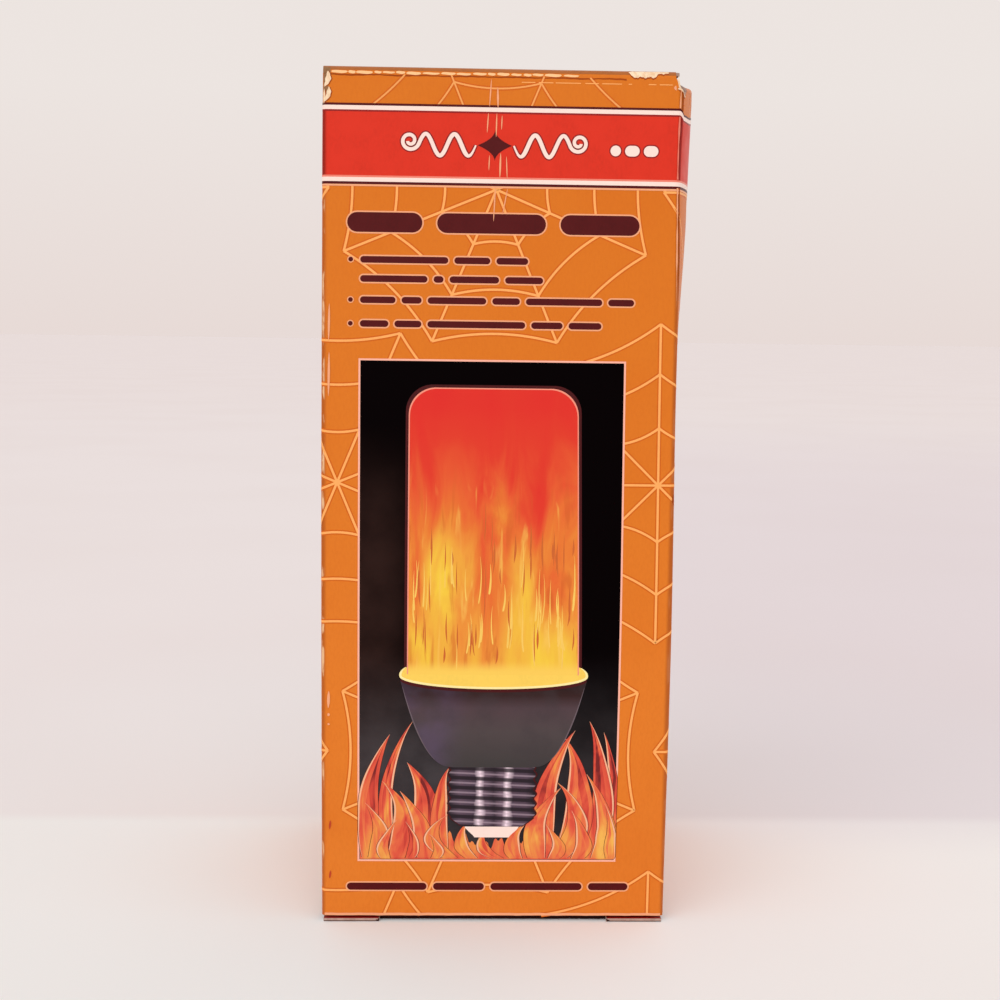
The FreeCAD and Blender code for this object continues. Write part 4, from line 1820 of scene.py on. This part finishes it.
    def build_lamp(self) -> None:
        """The lamp: insulator, screw base, bowl, rim and glowing diffuser."""
        f, m, form = self.finishes, self.middle, self.lamp
        lamp = self.printing(f.metal, f.collar, f.collar_edge, f.rim, f.rim_edge, f.glow,
                             f.white, f.glow_edge, f.lick, f.ember, f.fire_dark)
        up = np.linspace(*form.insulator, 12)
        lamp.region(up, m, 3.2 + 2.2 * smooth_step(up, 16.6, 19.6), 0.15, f.white)
        up = np.linspace(*form.base, 96)
        thread = form.thread * np.sin(2.0 * np.pi * up / form.pitch)
        half = form.base_half + np.where(within(up, form.threaded), thread, 0.0)
        half = half - form.base_taper * (1.0 - smooth_step(up, 18.4, 21.6))
        lamp.region(up, m, half + 0.3, 0.154, f.fire_dark)
        lamp.region(up, m, half, 0.158, f.metal, 12)
        up = np.linspace(*form.bowl, 70)
        share = np.clip((up - form.bowl[0]) / 17.3, 0.0, 1.0)
        half = form.bowl_half + form.bowl_flare * share**0.42
        lamp.region(up, m, half, 0.164, f.collar, 16)
        for side in SIDES:
            edge = np.stack([m + side * (half - 0.1), up], axis=1)[6:64]
            width = 0.05 + 0.2 * np.sin(np.pi * even(len(edge)))
            lamp.stroke(edge, width, 0.168, f.collar_edge)
        self.build_rim(lamp)
        self.build_glow(lamp)
        lamp.settled("picture_lamp")

    def build_rim(self, lamp: Printing) -> None:
        """The rim under the diffuser: the front half of an ellipse, with a bright edge.

        Args:
            lamp: the lamp's print.
        """
        f, m, reach, top = self.finishes, self.middle, self.lamp.rim_half, self.lamp.rim_top
        turn = np.radians(np.linspace(-90.0, 90.0, 73))
        across = reach * np.sin(turn)
        low = self.lamp.rim_up - self.lamp.rim_sag * np.cos(turn)
        rise = np.sqrt(np.clip((reach - np.abs(across)) / 1.5, 0.0, 1.0))
        high = self.lamp.rim_up + 0.1 + 1.9 * rise
        lamp.span(m + across, low - 0.75, low + 0.3, 0.17, f.fire_dark, 3)
        lamp.span(m + across, low, high, 0.174, f.rim)
        edge = np.stack([m + across, low + 0.1], axis=1)
        right = curve(edge[-1], (m + reach + 0.1, top - 0.8), (m + 16.95, top), 10)[1:]
        left = curve(edge[0], (m - reach - 0.1, top - 0.8), (m - 17.05, top), 10)[1:]
        line = np.concatenate([left[::-1], edge, right])
        share = np.abs(np.linspace(-1.0, 1.0, len(line)))
        lamp.stroke(line, 0.44 - 0.3 * smooth_step(share, 0.84, 1.0), 0.18, f.rim_edge)

    def build_glow(self, lamp: Printing) -> None:
        """The diffuser with round top corners, its fine outline, and streaks of flame.

        Args:
            lamp: the lamp's print.
        """
        f, m, form = self.finishes, self.middle - 0.15, self.lamp
        low, corner = form.glow[0], form.glow_corner
        for grow, ink, lift in ((0.8, f.fire_dark, 0.172), (0.24, f.glow_edge, 0.176),
                                (0.0, f.glow, 0.184)):
            high, turn = form.glow[1] + grow, np.radians(86.0 * even(10))
            top = high - corner + corner * np.sin(turn)
            up = np.concatenate([np.linspace(low, top[0], 60)[:-1], top])
            narrow = np.clip((up - low) / (high - grow - low), 0.0, 1.0)
            half = (form.glow_half + grow) * (1.0 - form.glow_taper * narrow)
            half = half - drawn_in(up - (high - corner), corner)
            lamp.region(up, m - form.glow_lean * narrow, half, lift, ink, 24)
        draws = np.random.default_rng(GLOW_SEED)
        for index in range(form.streaks):
            dark = index % 2 == 1
            x = float(draws.uniform(m - 15.4, m + 15.4))
            start = float(draws.uniform(*((52.0, 80.0) if dark else (50.6, 68.0))))
            length = float(draws.uniform(*((3.0, 8.0) if dark else (5.0, 10.0))))
            sway = float(draws.uniform(*((-0.6, 0.6) if dark else (-0.9, 0.9))))
            line = curve((x, start), (x + sway, start + length * 0.5),
                         (float(np.clip(x + sway * 0.3, m - 16.0, m + 16.0)), start + length))
            share = even(len(line))
            taper = np.sin(np.pi * share**0.8) ** 1.3 if dark else (1.0 - share) * share**0.2 * 1.4
            width = 0.03 + float(draws.uniform(0.18, 0.5)) * taper * (0.8 if dark else 1.0)
            lamp.stroke(line, width, 0.188 + index * 1.6e-4, f.ember if dark else f.lick)


@dataclass
class WearMarks(SleevePrint):
    """Scratches, rubbed spots, painted shade along the right crease, the peeled crease and the
    torn corner's pale board.
    """

    crease: LidCrease

    def build(self) -> None:
        """The marks on the wall, then those on the top crease."""
        f = self.finishes
        marks = self.printing(f.halo, f.shade, f.rust, f.blush, f.deep_red)
        for along, low, high, width, lean in (
            (-2.6, 158.8, 163.9, 0.2, 0.3), (-1.0, 158.6, 162.4, 0.34, -0.1),
            (-3.0, 154.0, 157.6, 0.18, 0.2), (-1.3, 153.2, 157.6, 0.2, 0.1),
            (-0.3, 154.6, 157.2, 0.16, 0.1), (-0.5, 145.6, 150.2, 0.3, 0.1),
            (-2.6, 147.0, 149.8, 0.16, 0.1), (0.9, 145.4, 149.6, 0.16, -0.2),
            (-1.6, 137.5, 144.0, 0.2, 0.3), (0.1, 138.8, 143.6, 0.16, 0.9),
            (-32.6, 114.6, 121.6, 0.36, 0.1), (-32.6, 104.0, 112.4, 0.4, 0.1),
            (-32.6, 43.0, 46.4, 0.5, 0.1), (-32.6, 41.4, 42.0, 0.45, 0.1),
            (-32.6, 39.6, 40.0, 0.4, 0.1),
        ):
            marks.scratch(along, low, high, width, lean, f.halo)
        self.draw_right_crease(marks)
        marks.chip((33.9, 83.6), (33.6, 84.6), (33.9, 85.6), 0.5, 0.08, f.shade)
        for low, high in ((18.6, 20.4), (8.6, 10.2)):
            marks.scratch(-32.4, low, high, 0.36, 0.2, f.rust)
        marks.settled("scratches")
        self.build_edges()
        self.build_fibres()
        self.build_crease_wear()

    def draw_right_crease(self, marks: Printing) -> None:
        """The front's right crease: a pale worn line beside a dark line of painted shade, off the
        band's rules.

        Args:
            marks: the wall's marks.
        """
        f, up = self.finishes, np.linspace(123.0, 162.6, 150)
        uneven = 0.5 + 0.5 * np.sin(up * 0.9) * np.sin(up * 0.37 + 1.0)
        line = np.stack([33.62 + 0.06 * np.sin(up * 0.23), up], axis=1)
        # Painted shade: the dark line where the crease turns away.
        dark = np.stack([34.04 + 0.04 * np.sin(up * 0.4), up], axis=1)
        fade = smooth_step(up, 123.0, 132.0)
        for limits, lift, pale, deep in (((0.0, 144.4), 0.104, f.halo, f.shade),
                                         ((145.6, 157.6), 0.108, f.blush, f.deep_red),
                                         ((158.9, 200.0), 0.112, f.halo, f.shade)):
            run = within(up, limits)
            marks.stroke(line[run], (0.02 + (0.08 + 0.24 * uneven) * fade)[run], lift, pale)
            marks.stroke(dark[run], (0.02 + 0.22 * fade)[run], lift - 0.018, deep)

    def build_edges(self) -> None:
        """The cut edge's pale line, the two worn corners, and a faint scored line."""
        f = self.finishes
        edge = self.printing(f.torn, f.halo, f.shade, f.web, f.soiled)
        along = np.linspace(-33.4, 33.4, 120)
        wave = 0.024 * np.sin(along * 0.9) + 0.016 * np.sin(along * 2.3)
        edge.stroke(np.stack([along, 1.28 + wave], axis=1), 0.5, 0.05, f.halo)
        edge.chip((-33.7, 159.2), (-33.1, 162.4), (-33.7, 165.4), 1.0, 0.04, f.soiled)
        for *bends, width in (((-33.6, 162.0), (-32.6, 163.2), (-33.0, 164.9), 0.95),
                              ((-33.5, 159.3), (-32.6, 160.5), (-32.8, 162.0), 0.8),
                              ((-33.75, 158.9), (-33.6, 160.0), (-33.7, 161.6), 0.4)):
            shaded = [(x + 0.2, z - 0.06) for x, z in bends]
            edge.chip(*shaded, width, 0.05, f.shade)
            edge.chip(*bends, width, 0.07, f.torn)
        edge.chip((32.7, 162.4), (32.35, 162.8), (32.6, 163.3), 0.44, 0.05, f.halo)
        places = np.linspace(33.0, 34.9, 26)
        swell = np.sin(np.pi * (places - 33.0) / 1.9) ** 0.5
        jag = 0.1 * np.abs(np.sin(places * 5.3)) + 0.06 * np.abs(np.sin(places * 12.1))
        edge.span(places, 162.66 - 0.34 * swell - jag, 162.8, 0.05, f.shade)
        edge.span(places, 162.74 - 0.2 * swell - 0.6 * jag, 162.84, 0.07, f.torn)
        for left, right in ((3.4, 6.0), (6.6, 9.4), (9.8, 14.6), (15.4, 18.0), (18.6, 22.4),
                            (23.6, 24.3), (27.4, 28.9), (29.5, 32.0)):
            edge.bar(left, right, 163.4, 0.17, 0.05, f.web)
        edge.settled("worn_edges")

    def build_fibres(self) -> None:
        """The ragged layer of board that stands in the torn corner."""
        fibres, places = Shell(), np.linspace(32.98, 36.4, 40)
        ragged = 0.16 * np.sin(places * 7.0) + 0.1 * np.sin(places * 17.0)
        high = 165.2 - 2.0 * smooth_step(places, 32.98, 33.5)
        high = high - 0.7 * smooth_step(places, 33.1, 35.8) + ragged
        up, along = between(162.2, high, even(6), places)
        fibres.slab(self.sheet.at, along, up, 0.1, 0.5, (0, 1, 0))
        f = self.finishes
        settle(fibres.build("torn_fibres", (f.torn, f.inside)), Body.CARTON)

    def build_crease_wear(self) -> None:
        """Dashes along the crease where its print is gone, and one peeled patch."""
        f, draws = self.finishes, np.random.default_rng(WEAR_SEED)
        worn = Printing(self.crease.sheet.at, f.bare, f.torn, f.shade, f.crease_darkening, f.soiled)
        left = -33.88
        along = np.linspace(left, 32.6, 100)
        worn.span(along, 0.56, FORM.hinge_bend + 0.9, 0.02, f.crease_darkening, 8)
        along = along[2:86]
        under = -0.3 + 0.05 * np.sin(along * 0.7) + 0.03 * np.sin(along * 2.9)
        thick = 0.09 + 0.1 * np.abs(np.sin(along * 0.31 + 0.8))
        worn.span(along, under - thick, under + 0.12, 0.025, f.shade, 3)
        corner = np.linspace(left, -32.5, 10)
        worn.span(corner, -0.1, 1.4 - 0.3 * (corner - left), 0.03, f.soiled, 6)
        place = -32.4
        while place < 14.0:
            length, share = draws.uniform(1.2, 3.4), even(14)
            width = (0.34 + draws.uniform(0.0, 0.2)) * np.sin(np.pi * share) ** 0.3 + 0.03
            height = 0.16 + draws.uniform(-0.06, 0.06) + 0.04 * np.sin(share * 7.0)
            points = np.stack([place + length * share, height], axis=1)
            worn.stroke(points, width, 0.045, f.bare)
            place += length + draws.uniform(0.05, 0.3) * (1.0 + max(0.0, place) / 3.0)
        places = np.linspace(23.6, 31.2, 44)
        share = (places - 23.6) / 7.6
        ragged = 0.12 * np.sin(places * 3.7) + 0.07 * np.sin(places * 9.1)
        bottom = 0.1 + ragged + 0.8 * smooth_step(share, 0.62, 0.8)
        bottom = bottom + 0.9 * (1.0 - smooth_step(share, 0.0, 0.1))
        top = 1.5 + 0.4 * ragged - 0.3 * (1.0 - smooth_step(share, 0.0, 0.12))
        worn.span(places, bottom - 0.28, bottom + 0.1, 0.03, f.shade)
        worn.span(places, bottom, np.maximum(top, bottom + 0.08), 0.045, f.torn)
        self.crease.joined(worn.build("crease_wear_and_shade"))


@dataclass
class BaseFold:
    """The fold of the bottom lid, darkened with painted shadow so that it shows as a dark line
    under the front.
    """

    sheet: LidSheet
    finishes: Finishes
    squareness: float = 20.0

    def squashed(self, across: Array, along: Array, depth: float) -> Array:
        """A point of the fold, which is squashed from a round corner to nearly a square one.

        At an angle a of its turn, the fold's radius r grows to
        r / (sin(a)^n + |cos(a)|^n)^(1/n), and n is the squareness.

        Args:
            across, along: places across and along the fold.
            depth: how far under the print.

        Returns:
            The points (.., 3).
        """
        angle = np.clip((along - self.sheet.panel) / FORM.crease, 0.0, math.radians(90.0))
        power = self.squareness
        total = np.sin(angle) ** power + np.abs(np.cos(angle)) ** power
        push = FORM.crease * (total ** (-1.0 / power) - 1.0)
        return self.sheet.at(across, along, (depth - push)[..., None])

    def build(self) -> None:
        """Dark films of painted shadow on the fold between the two ears, and of painted shade on
        each ear's inner face.

        A strip of painted shadow lies on each ear's raw edge, and two steps of it at the inner
        tip.
        """
        sheet, shell, painted_shadow, red = self.sheet, Shell(), (0, 0, 0), (1, 1, 1)
        half, fold_end = FORM.lid_half - FORM.slit - 0.1, sheet.panel + sheet.fold
        along = spans((sheet.panel + 0.35 * sheet.fold, fold_end, 24),
                      (fold_end, fold_end + 1.6, 4))
        # Painted shadow on the fold between the ears.
        shell.slab(self.squashed, *between(-half, half, even(25), along), -0.03, -0.015, painted_shadow)
        along = np.linspace(sheet.panel - 4.0, sheet.ears - 0.03, 12)
        rim = np.array([sheet.ears - 0.01, sheet.ears + 0.015])
        for side in SIDES:
            ends = sorted((side * (half + 0.2), side * (FORM.lid_half - 0.05)))
            # Painted shade: dark red on each ear's inner face, in the gap under the front.
            shell.slab(sheet.ear_at, *between(*ends, even(9), along), FORM.board + 0.02,
                       FORM.board + 0.005, red)
            # Painted shadow on the ear's raw edge, and in two steps at its inner tip.
            shell.slab(sheet.ear_at, *between(*ends, even(9), rim), 0.01, 0.14, painted_shadow)
            for near, far, top in ((0.12, 0.34, 0.55), (0.345, 0.75, 0.32)):
                ends = sorted((side * (half + near), side * (half + far)))
                shell.slab(sheet.ear_at, *between(*ends, even(9), rim + 0.003), 0.15, top, painted_shadow)
        piece = shell.build("base_fold_shade", (self.finishes.painted_shadow, self.finishes.deep_red))
        settle(piece, Body.BOTTOM)


@dataclass(frozen=True)
class Studio:
    """The pale floor, the soft lights and the camera at the photograph's view."""

    near: Colour = (0.87, 0.885, 0.875)
    # Painted light: beside_left, beside_right and close_behind make the floor near the carton
    # lighter and bluer, against its orange bounce light and its shade.
    beside_left: Colour = (0.885, 0.955, 0.985)
    beside_right: Colour = (0.935, 0.975, 1.0)
    close_behind: Colour = (0.850, 0.862, 0.885)
    behind: Colour = (0.840, 0.808, 0.822)
    far: Colour = (0.832, 0.790, 0.800)
    # Painted shadow: right darkens the floor to the right behind the carton.
    right: Colour = (0.945, 0.925, 0.955)
    horizon: Tone = (233, 220, 216)
    air: Tone = (238, 230, 226)
    air_height: float = 0.15
    air_strength: float = 0.985
    floor_half: float = 40.0
    floor_gap: float = 0.00006
    key_energy: float = 0.83
    key_angle: float = 75.0
    key_colour: Colour = (1.0, 0.985, 0.965)
    key_towards: Colour = (0.30, 0.85, -0.55)
    focal_pixels: float = 1548.4
    frame_pixels: float = 1000.0
    sensor: float = 36.0
    camera_at: Colour = (-8.91, -332.02, 115.85)
    pitch_yaw_roll: Colour = (6.046, -1.776, 0.747)

    def build(self) -> None:
        """Sets the floor, the lights, the world and the camera."""
        self.build_floor()
        self.build_key()
        self.build_world()
        self.build_camera()
        bpy.context.scene.view_settings.view_transform = "Standard"

    def build_floor(self) -> None:
        """A wide floor, darker and pinker behind the carton, with a painted shadow to its right
        behind it, and painted light that makes it lighter and bluer close beside and behind it.
        """
        mesh, size = bpy.data.meshes.new("floor"), self.floor_half
        corners = [(-size, -size), (size, -size), (size, size), (-size, size)]
        mesh.from_pydata([(x, y, -self.floor_gap) for x, y in corners], [], [(0, 1, 2, 3)])
        bench = Bench("pale_floor", 0.9, 0.0)
        x, y = bench.axis(0), bench.axis(1)
        away = bench.sums("SQRT", bench.plus(bench.times(x, x), bench.times(y, y)))
        # Painted light: lighter, bluer floor beside the carton.
        beside = bench.mix(bench.spread(x, -0.02, 0.02), self.beside_left, self.beside_right)
        tone = bench.mix(bench.spread(away, 0.20, 0.05), self.near, beside)
        # Painted light: close_behind is lighter and bluer close behind the carton.
        behind = bench.mix(bench.spread(away, 0.30, 0.06), self.behind, self.close_behind)
        tone = bench.mix(bench.spread(y, 0.027, 0.036), tone, behind)
        # Painted shadow on the floor to the right behind the carton.
        shaded = bench.times(bench.spread(x, -0.02, 0.10), bench.spread(y, 0.0, 0.04))
        shaded = bench.times(shaded, bench.spread(away, 2.2, 0.4))
        tone = bench.mix(bench.spread(away, 0.5, 3.0), tone, self.far)
        tone = bench.mix(shaded, tone, self.right, "MULTIPLY")
        cloud = bench.noise(5.0, detail=2.0)
        mesh.materials.append(bench.finish(bench.tint(tone, (214, 200, 196), cloud, 0.35, 0.7,
                                                      0.06)))
        placed("floor", mesh)

    def build_key(self) -> None:
        """A very wide soft light from the front left and above."""
        data = bpy.data.lights.new("key", "SUN")
        data.energy, data.angle = self.key_energy, math.radians(self.key_angle)
        data.color = self.key_colour
        towards = Vector(self.key_towards)
        light = placed("key", data)
        light.rotation_euler = towards.to_track_quat("-Z", "Y").to_euler()
        light.location = -towards

    def build_world(self) -> None:
        """Pale air, a little darker and warmer at the horizon."""
        world = bpy.data.worlds.new("soft_world")
        world.use_nodes = True
        nodes, links = world.node_tree.nodes, world.node_tree.links
        sky, fade = nodes["Background"], nodes.new("ShaderNodeValToRGB")
        split = nodes.new("ShaderNodeSeparateXYZ")
        links.new(nodes.new("ShaderNodeTexCoord").outputs["Generated"], split.inputs[0])
        for mark, place, tone in zip(fade.color_ramp.elements, (0.0, self.air_height),
                                     (self.horizon, self.air)):
            mark.position, mark.color = place, (*linear(*tone), 1.0)
        links.new(split.outputs[2], fade.inputs[0])
        links.new(fade.outputs["Color"], sky.inputs["Color"])
        sky.inputs["Strength"].default_value = self.air_strength
        bpy.context.scene.world = world

    def build_camera(self) -> None:
        """The camera, from a fit of the carton's edges to the photograph."""
        pitch, yaw, roll = (math.radians(angle) for angle in self.pitch_yaw_roll)
        data = bpy.data.cameras.new("camera")
        data.sensor_width = self.sensor
        data.lens = self.sensor * self.focal_pixels / self.frame_pixels
        data.clip_start, data.clip_end = 0.01, 200.0
        camera = placed("camera", data)
        turn = Matrix.Rotation(yaw, 4, "Z") @ Matrix.Rotation(math.pi / 2 - pitch, 4, "X")
        place = Matrix.Translation(Vector(self.camera_at) * MM)
        camera.matrix_world = place @ turn @ Matrix.Rotation(roll, 4, "Z")
        bpy.context.scene.camera = camera


def main() -> None:
    """Builds the carton piece by piece, then the studio."""
    logging.basicConfig(level=logging.INFO, format="%(name)s: %(message)s")
    finishes = Finishes()
    sheet = SleeveSheet(Bulge())
    sleeve = Sleeve(sheet, finishes)
    sleeve.build_wall()
    sleeve.build_dust_flaps()
    Lid(LidSheet(1.0, False), finishes, Body.TOP, torn=True).build()
    base = LidSheet(0.0, True)
    Lid(base, finishes, Body.BOTTOM).build()
    BaseFold(base, finishes).build()
    top_crease = LidCrease(FoldSheet(False), finishes, Body.TOP)
    top_crease.build()
    LidCrease(FoldSheet(True), finishes, Body.BOTTOM).build()
    Ornament(sheet, finishes).build()
    BandPrint(sheet, finishes).build()
    PlainLines(sheet, finishes).build()
    PicturePanel(sheet, finishes).build()
    WearMarks(sheet, finishes, top_crease).build()
    Studio().build()


if __name__ == "__main__":
    main()
